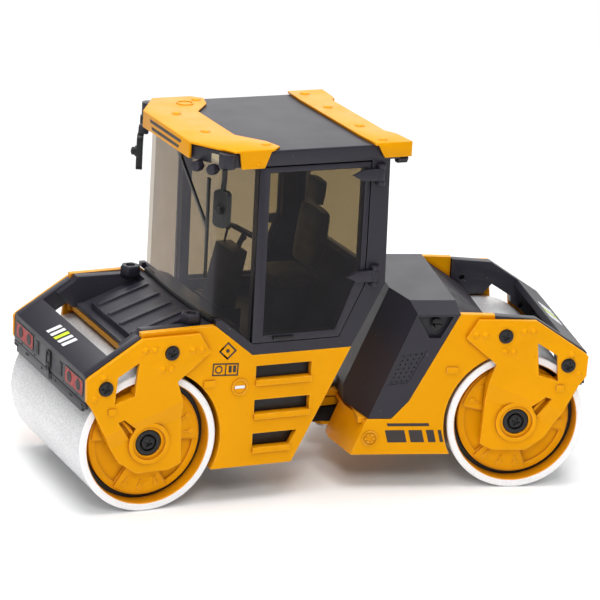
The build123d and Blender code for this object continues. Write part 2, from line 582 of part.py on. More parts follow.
def build_rear_frame():
    with BuildPart() as frame:
        wall_with_arch(REAR_WALL, -AXLE_X, WALL_INNER_Y, WALL_Y)
        tag_x, tag_z = REAR_TAG_CENTRE
        box((tag_x - 1.35, tag_x + 1.35), (WALL_Y - 0.1, WALL_Y + TAG_HEIGHT), (tag_z - 0.75, tag_z + 0.75))
        with BuildSketch(side(WALL_Y + 0.25)):
            with Locations(BOLT_CIRCLE_CENTRE):
                Circle(1.9)
                Circle(1.6, mode=Mode.SUBTRACT)
                with PolarLocations(1.0, 6):
                    Circle(0.3)
        extrude(amount=0.4)
        mirror(about=Plane.XZ)
        with BuildSketch(Plane.XY.offset(GROUND_CLEARANCE)) as nose:
            Polygon((-8.9, WALL_Y), (REAR_NOSE_X, REAR_NOSE_Y), (REAR_NOSE_X, -REAR_NOSE_Y), (-8.9, -WALL_Y),
                    (-10.5, -WALL_Y), (REAR_NOSE_X - 1.5, -REAR_NOSE_Y), (REAR_NOSE_X - 1.5, REAR_NOSE_Y),
                    (-10.5, WALL_Y), align=None)
        extrude(amount=LEDGE_Z - GROUND_CLEARANCE, dir=(REAR_LEAN, 0, 1))
        arch_panel(-AXLE_X, [(-20, GROUND_CLEARANCE), (-32.5, GROUND_CLEARANCE), (-41.0, 12.9), (-41.0, 40),
                             (-20, 40)])
        box((-31.0, -10.4), (-WALL_INNER_Y - 0.2, WALL_INNER_Y + 0.2), (LEDGE_Z - SHEET, LEDGE_Z))
        box((-12.0, PIVOT_X), (-LUG_RADIUS, LUG_RADIUS), (LEDGE_Z - SHEET, LEDGE_Z))
        rod_z(PIVOT_X, 0, LUG_RADIUS, LEDGE_Z - SHEET, LEDGE_Z)
        box((-20, 0), (-NOTCH_HALF_WIDTH, NOTCH_HALF_WIDTH),
            (GROUND_CLEARANCE, LEDGE_Z - SHEET), Mode.SUBTRACT)
        lug_z = (GROUND_CLEARANCE, GROUND_CLEARANCE + LUG_THICKNESS)
        box((-26, PIVOT_X - 1.5), (-NOTCH_HALF_WIDTH - 0.5, NOTCH_HALF_WIDTH + 0.5), lug_z)
        box((-12, PIVOT_X), (-LUG_RADIUS, LUG_RADIUS), lug_z)
        rod_z(PIVOT_X, 0, LUG_RADIUS, *lug_z)
        box((-26, -24.6), (-NOTCH_HALF_WIDTH, NOTCH_HALF_WIDTH), (GROUND_CLEARANCE, 17.0))
        rod_z(PIVOT_X, 0, PIN_RADIUS, 8, LEDGE_Z + 0.2, Mode.SUBTRACT)
        for y in (BELLY_SCREW_Y, -BELLY_SCREW_Y):
            for x in REAR_BELLY_SCREW_X:
                rod_z(x, y, BELLY_POST_RADIUS, GROUND_CLEARANCE + BELLY_THICKNESS + 0.05, LEDGE_Z - 0.8)
                rod_z(x, y, SCREW_RADIUS + 0.02, GROUND_CLEARANCE + 1.0, 15.4, Mode.SUBTRACT)
        rod_y(-AXLE_X, AXLE_Z, ARCH_RADIUS, -WALL_INNER_Y, WALL_INNER_Y, Mode.SUBTRACT)
    save_rear(frame, "rear_frame")

    with BuildPart() as belly:
        box((-31.6, -12.2), (-WALL_INNER_Y + 0.1, WALL_INNER_Y - 0.1),
            (GROUND_CLEARANCE, GROUND_CLEARANCE + BELLY_THICKNESS))
        box((-26.2, 0), (-NOTCH_HALF_WIDTH - 0.6, NOTCH_HALF_WIDTH + 0.6), (8, 10), Mode.SUBTRACT)
        for x in REAR_BELLY_SCREW_X:
            for y in (BELLY_SCREW_Y, -BELLY_SCREW_Y):
                rod_z(x, y, SCREW_RADIUS + 0.1, 8, 10, Mode.SUBTRACT)
                rod_z(x, y, SCREW_HEAD_RADIUS + 0.1, 8, GROUND_CLEARANCE + 0.5, Mode.SUBTRACT)
        rod_y(-AXLE_X, AXLE_Z, ARCH_RADIUS + SHEET + 0.05, -WALL_Y, WALL_Y, Mode.SUBTRACT)
    save_rear(belly, "rear_belly_plate")
    build_belly_screws("rear", REAR_BELLY_SCREW_X)


# ---- rear half: hood, grille and end bar ----
HOOD_TOP_Z = 44.8
CROWN_LOW_Z = 43.1             # the top falls to this level at the hood's sides
HOOD_PROFILE = [
    (-9.0, 17.6), (-9.3, 20.6), (-18.9, HOOD_TOP_Z), (-32.6, HOOD_TOP_Z), (-32.8, 43.2),
    (-21.9, 21.95), (-17.95, 17.6),
]
HOOD_LEAN = -9.6 / 24.2        # the front face leans back above its lower edge
HOOD_CORNER_X = -7.87          # corner bevel starts here at Z = HOOD_CUT_Z
HOOD_CUT_Z = 17.0
HOOD_CORNER_Y = 8.5
HOOD_CORNER_CUT = 4.4
CROWN_Y = 18.5
POCKET = [(-22.6, 42.5), (-31.3, 42.5), (-28.4, 37.2), (-25.8, 37.2)]
POCKET_DEPTH = 1.4
HOOD_SCREW = (-27.3, 40.6)
VENT_PANEL = [(-19.4, 33.4), (-25.6, 34.3), (-21.5, 26.2), (-16.4, 25.6)]
VENT_COLUMNS = 4
VENT_ROWS = 7


def build_rear_hood():
    with BuildPart() as hood:
        across(*HOOD_PROFILE, half_width=WALL_Y)
        for sign in (1, -1):
            bevel_reach = 1.5 * (WALL_Y - HOOD_CORNER_Y)
            with BuildSketch(Plane.XY.offset(HOOD_CUT_Z)):
                Polygon((10, sign * HOOD_CORNER_Y), (HOOD_CORNER_X, sign * HOOD_CORNER_Y),
                        (HOOD_CORNER_X - 1.5 * HOOD_CORNER_CUT, sign * (HOOD_CORNER_Y + bevel_reach)),
                        (10, sign * (HOOD_CORNER_Y + bevel_reach)), align=None)
            extrude(amount=30, dir=(HOOD_LEAN, 0, 1), mode=Mode.SUBTRACT)
            with BuildSketch(Plane.YZ.offset(-40)):
                Polygon((sign * CROWN_Y, HOOD_TOP_Z), (sign * WALL_Y, CROWN_LOW_Z), (sign * 30, CROWN_LOW_Z),
                        (sign * 30, 50), (sign * CROWN_Y, 50), align=None)
            extrude(amount=40, mode=Mode.SUBTRACT)
        inner_y = WALL_Y - SHEET - 0.6
        side_prism([(-15.2, 19.0), (-24.9, HOOD_TOP_Z - SHEET), (-31.4, HOOD_TOP_Z - SHEET), (-20.3, 21.4),
                    (-18.3, 16.0), (-15.2, 16.0)], -inner_y, inner_y, Mode.SUBTRACT)
        side_prism([(-11.2, 19.0), (-20.9, HOOD_TOP_Z - SHEET), (-26.0, HOOD_TOP_Z - SHEET), (-17.0, 19.0),
                    (-17.0, 16.0), (-11.2, 16.0)], -HOOD_CORNER_Y, HOOD_CORNER_Y, Mode.SUBTRACT)
        for sign in (1, -1):
            low = min(sign * WALL_Y, sign * (WALL_Y - POCKET_DEPTH))
            side_prism(POCKET, low, low + POCKET_DEPTH, Mode.SUBTRACT)
            rod_y(*HOOD_SCREW, SCREW_RADIUS + 0.02, min(0, sign * 23), max(0, sign * 23), Mode.SUBTRACT)
            shallow = min(sign * WALL_Y, sign * (WALL_Y - 0.2))
            side_prism(VENT_PANEL, shallow, shallow + 0.2, Mode.SUBTRACT)
            with BuildSketch(side(shallow + 0.2)):
                front_top, back_top, back_low, front_low = VENT_PANEL
                for row in range(VENT_ROWS):
                    down = (row + 0.7) / (VENT_ROWS + 0.4)
                    for column in range(VENT_COLUMNS):
                        over = (column + 0.7) / (VENT_COLUMNS + 0.4)
                        top = (front_top[0] + over * (back_top[0] - front_top[0]),
                               front_top[1] + over * (back_top[1] - front_top[1]))
                        low_point = (front_low[0] + over * (back_low[0] - front_low[0]),
                                     front_low[1] + over * (back_low[1] - front_low[1]))
                        dot_x = top[0] + down * (low_point[0] - top[0])
                        dot_z = top[1] + down * (low_point[1] - top[1])
                        with Locations((dot_x, dot_z)):
                            Circle(0.24)
            extrude(amount=0.5, mode=Mode.SUBTRACT, both=True)
    save_rear(hood, "rear_hood")

    with BuildPart() as screws:
        rod_y(*HOOD_SCREW, SCREW_RADIUS, 19.5, WALL_Y - POCKET_DEPTH)
        rod_y(*HOOD_SCREW, 1.3, WALL_Y - POCKET_DEPTH, WALL_Y - 0.2)
        with BuildSketch(side(WALL_Y - 0.2)):
            with Locations(HOOD_SCREW):
                Rectangle(2.4, 0.4)
        extrude(amount=0.35, mode=Mode.SUBTRACT)
        mirror(about=Plane.XZ)
    save_rear(screws, "rear_hood_screws")


GRILLE_TOP = (-33.3, 42.6)
GRILLE_BOTTOM = (-44.0, 35.7)
GRILLE_STEPS = 18
GRILLE_NOTCH_X = 41.1   # narrower beyond this, between the rails


def build_rear_grille():
    run_x = (GRILLE_BOTTOM[0] - GRILLE_TOP[0]) / GRILLE_STEPS
    run_z = (GRILLE_BOTTOM[1] - GRILLE_TOP[1]) / GRILLE_STEPS
    steps = []
    for step in range(GRILLE_STEPS):
        x = GRILLE_TOP[0] + step * run_x
        z = GRILLE_TOP[1] + step * run_z
        steps += [(x, z), (x + run_x, z)]
    with BuildPart() as grille:
        across(*steps, GRILLE_BOTTOM, (GRILLE_BOTTOM[0], GRILLE_BOTTOM[1] - 0.3),
               (GRILLE_TOP[0], GRILLE_TOP[1] - 3.4), half_width=WALL_INNER_Y - 0.1)
        rod_y(-AXLE_X, AXLE_Z, ARCH_RADIUS + SHEET + 0.1, -WALL_Y, WALL_Y, Mode.SUBTRACT)
        for low, high in ((COVER_RAIL_Y - 0.1, WALL_Y), (-WALL_Y, -COVER_RAIL_Y + 0.1)):
            box((GRILLE_BOTTOM[0] - 1, -GRILLE_NOTCH_X), (low, high), (30, 45), Mode.SUBTRACT)
    save_rear(grille, "rear_grille")


def build_rear_bar():
    with BuildPart() as bar:
        add_bar_and_rails(-1, REAR_RAIL_END)
        box((-(AXLE_X - 1.5), -(AXLE_X - 4.0)), (-26, 26), (20, 33.0), Mode.SUBTRACT)
    save_rear(bar, "rear_bar")


# ---- cab ----
DOOR_HINGE = (-5.6, 24.75)      # (x, y) of the upright hinge axis
DOOR_OUTLINE = [(23.9, 38.3), (2.2, 38.3), (-3.5, 50.4), (-3.3, 79.6), (24.2, 79.6)]
DOOR_GLASS = [(21.3, 40.0), (3.3, 40.0), (-2.2, 54.4), (-2.0, 78.4), (21.6, 78.4)]
DOOR_THICKNESS = 1.5
CAB_REAR_LOW = (-1.2, DECK_Z + 0.1)
CAB_REAR_KNEE = (-8.8, 50.3)
CAB_REAR_TOP = (-8.0, ROOF_UNDER_Z)
POST_FRONT_TOP = (24.2, ROOF_UNDER_Z)
POST_FRONT_LOW = (23.6, DECK_Z + 0.1)
HINGE_LEVELS = ((75.0, 78.3), (51.0, 54.2))
KNUCKLE_RADIUS = 0.72
HINGE_PIN_RADIUS = 0.35
HINGE_LUG = 0.8


def build_cab_frame():
    with BuildPart() as frame:
        # outer layer: sill under the door and rear pillar behind it
        with BuildSketch(side(WALL_Y)):
            Polygon(POST_FRONT_LOW, CAB_REAR_LOW, CAB_REAR_KNEE, CAB_REAR_TOP, POST_FRONT_TOP, align=None)
            Polygon((25.0, 38.1), (2.1, 38.1), (-3.75, 50.4), (-3.55, 81), (25.0, 81), align=None,
                    mode=Mode.SUBTRACT)
        extrude(amount=WALL_Y - WALL_INNER_Y)
        # windscreen base strip along the sloped shoulder of the wall
        side_prism([(33.0, 43.3), (33.0, 44.4), (31.6, 44.4), (23.6, 38.0), (23.6, DECK_Z + 0.15)],
                   22.2, WALL_Y)
        # inner layer: door stop with its own opening
        with BuildSketch(side(WALL_INNER_Y)):
            Polygon((23.7, DECK_Z + 0.1), CAB_REAR_LOW, CAB_REAR_KNEE, CAB_REAR_TOP, POST_FRONT_TOP,
                    align=None)
            Polygon((21.4, 39.6), (3.1, 39.6), (-2.4, 54.2), (-2.2, 77.8), (21.8, 77.8), align=None,
                    mode=Mode.SUBTRACT)
        extrude(amount=1.4)
        mirror(about=Plane.XZ)
        # rear cross members
        across(CAB_REAR_LOW, (CAB_REAR_LOW[0] + SHEET, CAB_REAR_LOW[1]), (CAB_REAR_KNEE[0] + SHEET, 51.0),
               (-7.4, 52.6), (-8.7, 52.6), CAB_REAR_KNEE, half_width=WALL_INNER_Y)
        box((-8.0, -6.7), (-WALL_INNER_Y, WALL_INNER_Y), (77.2, ROOF_UNDER_Z))
        for low, high in ((18.8, WALL_INNER_Y), (-WALL_INNER_Y, -18.8)):
            side_prism([CAB_REAR_KNEE, CAB_REAR_TOP, (-6.7, ROOF_UNDER_Z), (-7.3, 50.3)], low, high)
        box((21.4, 24.2), (-WALL_INNER_Y, WALL_INNER_Y), (78.4, ROOF_UNDER_Z))
    save(frame, "cab_frame")

    with BuildPart() as floor:
        box((CAB_REAR_LOW[0] + SHEET + 0.05, 23.4), (-20.7, 20.7), (DECK_Z + 0.1, DECK_Z + 1.0))
        side_prism([(23.4, DECK_Z + 0.1), (23.4, DECK_Z + 1.0), (26.5, 41.8), (31.6, 43.4), (31.6, 42.5),
                    (27.2, 40.9), (24.4, DECK_Z + 0.1)], -20.7, 20.7)
    save(floor, "cab_floor")

    with BuildPart() as pins:
        for z_low, z_high in HINGE_LEVELS:
            rod_z(*DOOR_HINGE, HINGE_PIN_RADIUS, z_low + 0.1, z_high - 0.1)
            for low, high in ((z_low - HINGE_LUG, z_low + 0.1), (z_high - 0.1, z_high + HINGE_LUG)):
                rod_z(*DOOR_HINGE, DOOR_HINGE[1] - WALL_Y, low, high)
                box((DOOR_HINGE[0] - 1.1, DOOR_HINGE[0] + 0.9), (WALL_Y, DOOR_HINGE[1]), (low, high))
        mirror(about=Plane.XZ)
    save(pins, "door_hinge_brackets")


def build_door(name, sign):
    with BuildPart() as frame:
        with BuildSketch(side(WALL_Y)):
            Polygon(*DOOR_OUTLINE, align=None)
            Polygon(*DOOR_GLASS, align=None, mode=Mode.SUBTRACT)
        extrude(amount=DOOR_THICKNESS)
        with BuildSketch(side(WALL_Y - 0.5)):
            offset(Polygon(*DOOR_GLASS, align=None, mode=Mode.PRIVATE), amount=0.5, kind=Kind.INTERSECTION)
        extrude(amount=0.8, mode=Mode.SUBTRACT)
        if sign < 0:
            mirror(about=Plane.XZ)
            split(bisect_by=Plane.XZ, keep=Keep.TOP)
    save(frame, f"{name}_door_frame")

    with BuildPart() as glass:
        with BuildSketch(side(WALL_Y - 0.55)):
            offset(Polygon(*DOOR_GLASS, align=None, mode=Mode.PRIVATE), amount=0.45, kind=Kind.INTERSECTION)
        extrude(amount=0.7)
        if sign < 0:
            mirror(about=Plane.XZ)
            split(bisect_by=Plane.XZ, keep=Keep.TOP)
    save(glass, f"{name}_door_glass")

    with BuildPart() as straps:
        for z_low, z_high in HINGE_LEVELS:
            middle = (z_low + z_high) / 2
            rod_z(*DOOR_HINGE, KNUCKLE_RADIUS, z_low + 0.2, z_high - 0.2)
            side_prism([(DOOR_HINGE[0], z_high - 0.2), (-1.0, z_high - 0.5), (1.4, middle),
                        (-1.0, z_low + 0.5), (DOOR_HINGE[0], z_low + 0.2)],
                       WALL_Y + 0.12, DOOR_HINGE[1] + 0.3)
            box((-2.9, 0.0), (WALL_Y, WALL_Y + 0.2), (middle - 0.8, middle + 0.8))
            rod_z(*DOOR_HINGE, HINGE_PIN_RADIUS + RUNNING_GAP, z_low, z_high, Mode.SUBTRACT)
        if sign < 0:
            mirror(about=Plane.XZ)
            split(bisect_by=Plane.XZ, keep=Keep.TOP)
    save(straps, f"{name}_door_straps")

    with BuildPart() as handle:
        box((13.8, 18.9), (WALL_Y, WALL_Y + 0.7), (38.85, 39.6))
        if sign < 0:
            mirror(about=Plane.XZ)
            split(bisect_by=Plane.XZ, keep=Keep.TOP)
    save(handle, f"{name}_door_handle")


SCREEN_FRONT_X = 33.5
SCREEN_CORNER_X = 32.6
SCREEN_THICKNESS = 0.9
SCREEN_SIDE_Y = 23.7


def build_glazing():
    with BuildPart() as screen:
        with BuildSketch(Plane.XY.offset(37.0)):
            with BuildLine():
                Line((24.4, SCREEN_SIDE_Y), (28.2, SCREEN_SIDE_Y))
                TangentArc((28.2, SCREEN_SIDE_Y), (SCREEN_CORNER_X, 19.6), tangent=(1, 0))
                ThreePointArc((SCREEN_CORNER_X, 19.6), (SCREEN_FRONT_X, 0), (SCREEN_CORNER_X, -19.6))
                TangentArc((28.2, -SCREEN_SIDE_Y), (SCREEN_CORNER_X, -19.6), tangent=(1, 0))
                Line((24.4, -SCREEN_SIDE_Y), (28.2, -SCREEN_SIDE_Y))
                Line((24.4, SCREEN_SIDE_Y), (24.4, -SCREEN_SIDE_Y))
            make_face()
        extrude(amount=ROOF_UNDER_Z - 0.05 - 37.0)
        with BuildSketch(Plane.XY.offset(36.0)):
            with BuildLine():
                inner_y = SCREEN_SIDE_Y - SCREEN_THICKNESS
                inner_x = SCREEN_CORNER_X - SCREEN_THICKNESS
                Line((24.0, inner_y), (28.2, inner_y))
                TangentArc((28.2, inner_y), (inner_x, 19.6), tangent=(1, 0))
                ThreePointArc((inner_x, 19.6), (SCREEN_FRONT_X - SCREEN_THICKNESS, 0), (inner_x, -19.6))
                TangentArc((28.2, -inner_y), (inner_x, -19.6), tangent=(1, 0))
                Line((24.0, -inner_y), (28.2, -inner_y))
                Line((24.0, inner_y), (24.0, -inner_y))
            make_face()
        extrude(amount=50, mode=Mode.SUBTRACT)
        with BuildSketch(side(30)):
            Polygon((20, 30), (20, 35.12), (31.65, 44.45), (33.05, 44.45), (33.05, 43.35), (40, 43.35),
                    (40, 30), align=None)
        extrude(amount=60, mode=Mode.SUBTRACT)
    save(screen, "windscreen")

    with BuildPart() as rear:
        side_prism([(-7.9, 52.7), (-7.9, 77.1), (-7.2, 77.1), (-7.2, 52.7)], -18.7, 18.7)
    save(rear, "rear_window")


CORNER_POST = (32.2, 23.4)
ROOF_PLAN = [(36.9, 13.8), (30.8, 24.0), (-10.3, 24.0), (-10.3, -24.0), (30.8, -24.0), (36.9, -13.8)]
VISOR_HALF = [
    (25.2, 0), (25.2, 11.0), (20.3, 17.5), (19.0, 22.4), (21.5, 24.7), (31.3, 24.7), (37.7, 14.1), (37.7, 0),
]
ROOF_LAMPS = ((35.4, 15.9), (33.2, 19.5))
ROOF_LAMP_FACING = (0.86, 0.51, 0)
REAR_ROOF_LAMP = (-10.6, 21.6)
STRIP_HALF = [
    (-3.3, 0), (-3.3, 16.5), (-3.8, 24.8), (-12.9, 24.8), (-12.4, 17.4), (-10.8, 14.5), (-10.8, 0),
]
VISOR_TAB = [(29.8, TRIM_TOP_Z), (21.7, TRIM_TOP_Z), (23.4, 79.7), (29.1, 79.7)]
STRIP_UNDER_Z = 80.6
STRIP_TAB = [(-4.2, TRIM_TOP_Z), (-6.2, STRIP_UNDER_Z), (-12.9, STRIP_UNDER_Z), (-12.9, TRIM_TOP_Z)]
LAMP_FLAT = 1.1         # half the lamp's width across its flats


def trim_plate(half_outline):
    """Flat trim on the roof, symmetric about the mid plane, into the part being built."""
    other_half = [(x, -y) for x, y in half_outline[-2:0:-1]]
    with BuildSketch(Plane.XY.offset(ROOF_TOP_Z)) as profile:
        Polygon(*half_outline, *other_half, align=None)
    extrude(profile.sketch, amount=TRIM_TOP_Z - ROOF_TOP_Z)


def build_roof():
    with BuildPart() as panel:
        with BuildSketch(Plane.XY.offset(ROOF_UNDER_Z)):
            Polygon(*ROOF_PLAN, align=None)
        extrude(amount=ROOF_TOP_Z - ROOF_UNDER_Z)
        fillet(panel.faces().sort_by(Axis.Z)[-1].edges(), 0.5)
        box((-8.2, 34.0), (-22.4, 22.4), (ROOF_UNDER_Z, ROOF_TOP_Z - 1.2), Mode.SUBTRACT)
        for y in (CORNER_POST[1], -CORNER_POST[1]):
            rod_z(CORNER_POST[0], y, 1.9, ROOF_UNDER_Z, ROOF_TOP_Z - 0.1)
    save(panel, "roof_panel")

    with BuildPart() as visor:
        trim_plate(VISOR_HALF)
        box((36.95, 37.7), (-14.1, 14.1), (80.1, TRIM_TOP_Z - 0.1))
        for low, high in ((24.05, 24.7), (-24.7, -24.05)):
            side_prism(VISOR_TAB, low, high)
    save(visor, "roof_visor")

    with BuildPart() as strip:
        trim_plate(STRIP_HALF)
        for low, high in ((24.05, 24.8), (-24.8, -24.05)):
            side_prism(STRIP_TAB, low, high)
        box((-12.9, -10.4), (17.6, 24.4), (STRIP_UNDER_Z, ROOF_TOP_Z + 0.1))
        box((-12.9, -10.4), (-24.4, -17.6), (STRIP_UNDER_Z, ROOF_TOP_Z + 0.1))
    save(strip, "roof_rear_strip")

    with BuildPart() as lamps:
        for x, y in ROOF_LAMPS:
            lamp_z = ROOF_UNDER_Z - LAMP_FLAT
            lamp_plane = Plane(origin=(x, y, lamp_z), x_dir=(0, 0, 1), z_dir=ROOF_LAMP_FACING)
            with BuildSketch(lamp_plane):
                RegularPolygon(LAMP_FLAT, 6, major_radius=False, rotation=30)
            extrude(amount=2.2)
        mirror(about=Plane.XZ)
    save(lamps, "roof_lamps")

    with BuildPart() as rear_lamps:
        lamp_centre = (*REAR_ROOF_LAMP, STRIP_UNDER_Z - LAMP_FLAT)
        lamp_plane = Plane(origin=lamp_centre, x_dir=(0, 0, 1), z_dir=(-1, 0, 0))
        with BuildSketch(lamp_plane):
            RegularPolygon(LAMP_FLAT, 6, major_radius=False, rotation=30)
        extrude(amount=2.6)
        mirror(about=Plane.XZ)
    save(rear_lamps, "rear_roof_lamps")


MIRROR_CENTRE = (33.6, 25.05)
MIRROR_Z = (66.9, 75.4)
MIRROR_TURN = 25        # each mirror's back faces forward, turned outward by this angle
MIRROR_WIDTH = 4.2
MIRROR_THICKNESS = 1.5
MIRROR_CORNER_RADIUS = 1.2
MIRROR_BOSS_RADIUS = 0.95
MIRROR_BOSS_HEIGHT = 1.2
MIRROR_ARM = (33.3, 24.9)
MIRROR_ARM_RADIUS = 0.5


def build_mirrors_and_wiper():
    with BuildPart() as arms:
        rod_z(*MIRROR_ARM, MIRROR_ARM_RADIUS, MIRROR_Z[1] - 0.9, ROOF_UNDER_Z)
        mirror(about=Plane.XZ)
    save(arms, "mirror_arms")

    turn = radians(MIRROR_TURN)
    mirror_middle = (*MIRROR_CENTRE, (MIRROR_Z[0] + MIRROR_Z[1]) / 2)
    mirror_plane = Plane(
        origin=mirror_middle, x_dir=(-sin(turn), cos(turn), 0), z_dir=(cos(turn), sin(turn), 0),
    )
    with BuildPart() as housings:
        with BuildSketch(mirror_plane):
            RectangleRounded(MIRROR_WIDTH, MIRROR_Z[1] - MIRROR_Z[0], MIRROR_CORNER_RADIUS)
        extrude(amount=MIRROR_THICKNESS / 2, both=True)
        with BuildSketch(mirror_plane):
            Circle(MIRROR_BOSS_RADIUS)
        extrude(amount=MIRROR_THICKNESS / 2 + MIRROR_BOSS_HEIGHT)
        rod_z(*MIRROR_ARM, MIRROR_ARM_RADIUS + 0.01, MIRROR_Z[1] - 0.9, MIRROR_Z[1] + 1.0, Mode.SUBTRACT)
        mirror(about=Plane.XZ)
    save(housings, "mirror_housings")

    with BuildPart() as wiper:
        wiper_plane = Plane(origin=(34.05, 0, 0), x_dir=(0, 1, 0), z_dir=(1, 0, 0))
        with BuildSketch(wiper_plane):
            Polygon((1.1, 77.4), (2.1, 77.6), (18.9, 65.6), (18.9, 64.4), align=None)
            Polygon((18.0, 76.6), (19.2, 76.6), (19.6, 53.4), (18.8, 53.4), align=None)
            with Locations((1.6, 77.9)):
                Circle(1.2)
        extrude(amount=0.6)
        with BuildSketch(wiper_plane):
            with Locations((1.6, 77.9)):
                Circle(0.8)
        extrude(amount=SCREEN_FRONT_X + 0.02 - wiper_plane.origin.X)
    save(wiper, "wiper")


SEAT_HALF_WIDTH = 7.0


def build_interior():
    with BuildPart() as seat:
        side_prism([(11.5, 44.6), (11.5, 47.2), (2.2, 47.0), (0.6, 62.6), (1.0, 69.4), (-2.0, 69.8),
                    (-3.2, 62.6),
                    (-3.6, 45.4), (0.0, 44.6)], -SEAT_HALF_WIDTH, SEAT_HALF_WIDTH)
        box((-6, 6), (3.6, 12), (62.8, 72), Mode.SUBTRACT)
        box((-6, 6), (-12, -3.6), (62.8, 72), Mode.SUBTRACT)
    save(seat, "seat")

    with BuildPart() as base:
        box((2.4, 10.5), (-5.5, 5.5), (DECK_Z + 1.0, 40.0))
        box((1.0, 10.0), (-4.0, 4.0), (40.0, 44.6))
    save(base, "seat_base")

    with BuildPart() as console:
        side_prism([(25.2, 41.4), (20.0, 41.4), (20.0, DECK_Z + 1.0), (23.3, DECK_Z + 1.0)], -8, 8)
        side_prism([(24.6, 41.0), (21.6, 54.2), (17.8, 54.2), (20.2, 41.0)], -5, 5)
    save(console, "steering_console")

    wheel_plane = Plane(origin=(16.6, 0, 57.0), x_dir=(0, 1, 0), z_dir=(-0.45, 0, 0.89))
    with BuildPart() as wheel:
        with BuildSketch(wheel_plane):
            Circle(4.2)
            Circle(3.4, mode=Mode.SUBTRACT)
            Rectangle(7.4, 0.9)
            Circle(0.9)
        extrude(amount=0.8)
        with BuildSketch(wheel_plane):
            Circle(0.6)
        extrude(amount=-3.0)
        box((17.8, 30), (-6, 6), (40, 54.2), Mode.SUBTRACT)
    save(wheel, "steering_wheel")


for half, direction, plate_angle in (("front", 1, FRONT_PLATE_ANGLE), ("rear", -1, REAR_PLATE_ANGLE)):
    build_drum(half, direction * AXLE_X, plate_angle)
    build_axle(half, direction * AXLE_X)
    build_arm(half, direction)
build_front_frame()
build_front_cover()
build_link()
build_rear_frame()
build_rear_hood()
build_rear_grille()
build_rear_bar()
build_cab_frame()
build_door("left", 1)
build_door("right", -1)
build_glazing()
build_roof()
build_mirrors_and_wiper()
build_interior()
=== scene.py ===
import json
from math import atan2, cos, exp, pi, radians, sin

import bmesh
import bpy
from mathutils import Matrix, Vector


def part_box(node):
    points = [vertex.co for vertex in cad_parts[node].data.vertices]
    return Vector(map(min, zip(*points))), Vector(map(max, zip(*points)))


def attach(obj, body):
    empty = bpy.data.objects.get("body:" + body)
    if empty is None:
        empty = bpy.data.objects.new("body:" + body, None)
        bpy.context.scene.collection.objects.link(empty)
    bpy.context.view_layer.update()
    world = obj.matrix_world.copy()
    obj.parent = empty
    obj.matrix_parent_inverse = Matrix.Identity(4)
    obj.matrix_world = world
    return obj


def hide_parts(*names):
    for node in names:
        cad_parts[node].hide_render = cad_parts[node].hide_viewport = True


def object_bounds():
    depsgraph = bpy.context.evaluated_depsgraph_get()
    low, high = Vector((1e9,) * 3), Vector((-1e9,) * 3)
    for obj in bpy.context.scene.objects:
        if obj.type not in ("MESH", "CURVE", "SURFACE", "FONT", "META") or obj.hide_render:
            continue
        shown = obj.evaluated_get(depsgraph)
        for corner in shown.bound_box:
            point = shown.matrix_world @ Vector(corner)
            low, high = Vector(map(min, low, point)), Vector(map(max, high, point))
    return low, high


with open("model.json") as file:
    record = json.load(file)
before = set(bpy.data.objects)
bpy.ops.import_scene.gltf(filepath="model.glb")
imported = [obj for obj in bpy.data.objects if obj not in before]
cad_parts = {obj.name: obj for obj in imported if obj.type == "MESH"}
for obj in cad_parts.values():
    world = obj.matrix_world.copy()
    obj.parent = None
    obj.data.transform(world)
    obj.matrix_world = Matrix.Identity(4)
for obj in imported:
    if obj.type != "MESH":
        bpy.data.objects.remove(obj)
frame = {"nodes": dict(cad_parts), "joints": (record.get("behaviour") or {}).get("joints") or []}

MM = 0.001
CAD_LOW, CAD_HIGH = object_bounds()
NODES = frame["nodes"]
JOINTS = {joint["name"]: joint for joint in frame["joints"]}
X_AXIS = Vector((1, 0, 0))
Y_AXIS = Vector((0, 1, 0))
Z_AXIS = Vector((0, 0, 1))

PIVOT = Vector(JOINTS["steering"]["pos_m"])
FRONT_AXLE = Vector(JOINTS["front_drum_spin"]["pos_m"])
FRONT_AXIS = Vector(JOINTS["front_drum_spin"]["axis"])
REAR_AXLE = Vector(JOINTS["rear_drum_spin"]["pos_m"])
REAR_AXIS = Vector(JOINTS["rear_drum_spin"]["axis"])

# The rear half is drawn in line with the front half, then turned to its place at rest.
REST_STEER = atan2(-REAR_AXIS.x, REAR_AXIS.y)
TO_REAR = Matrix.Translation(PIVOT) @ Matrix.Rotation(REST_STEER, 4, "Z") @ Matrix.Translation(-PIVOT)


def box_mm(node):
    """Lowest and highest corner of a CAD piece, in millimetres."""
    return [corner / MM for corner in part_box(node)]


# ---- materials ----
YELLOW = (0.80, 0.335, 0.0)
DARK = (0.018, 0.0165, 0.0255)
BLACK = (0.008, 0.008, 0.009)
GRILLE_TOP = -25.9              # the grille's upper edge, measured from the pivot
GRILLE_PITCH = 10.7 / 18        # run of one of its 18 steps
BORE_SHARE = 14.7 / 16.5        # a drum's inner radius, as a share of its outer one


def darker(colour, factor):
    return tuple(channel * factor for channel in colour)


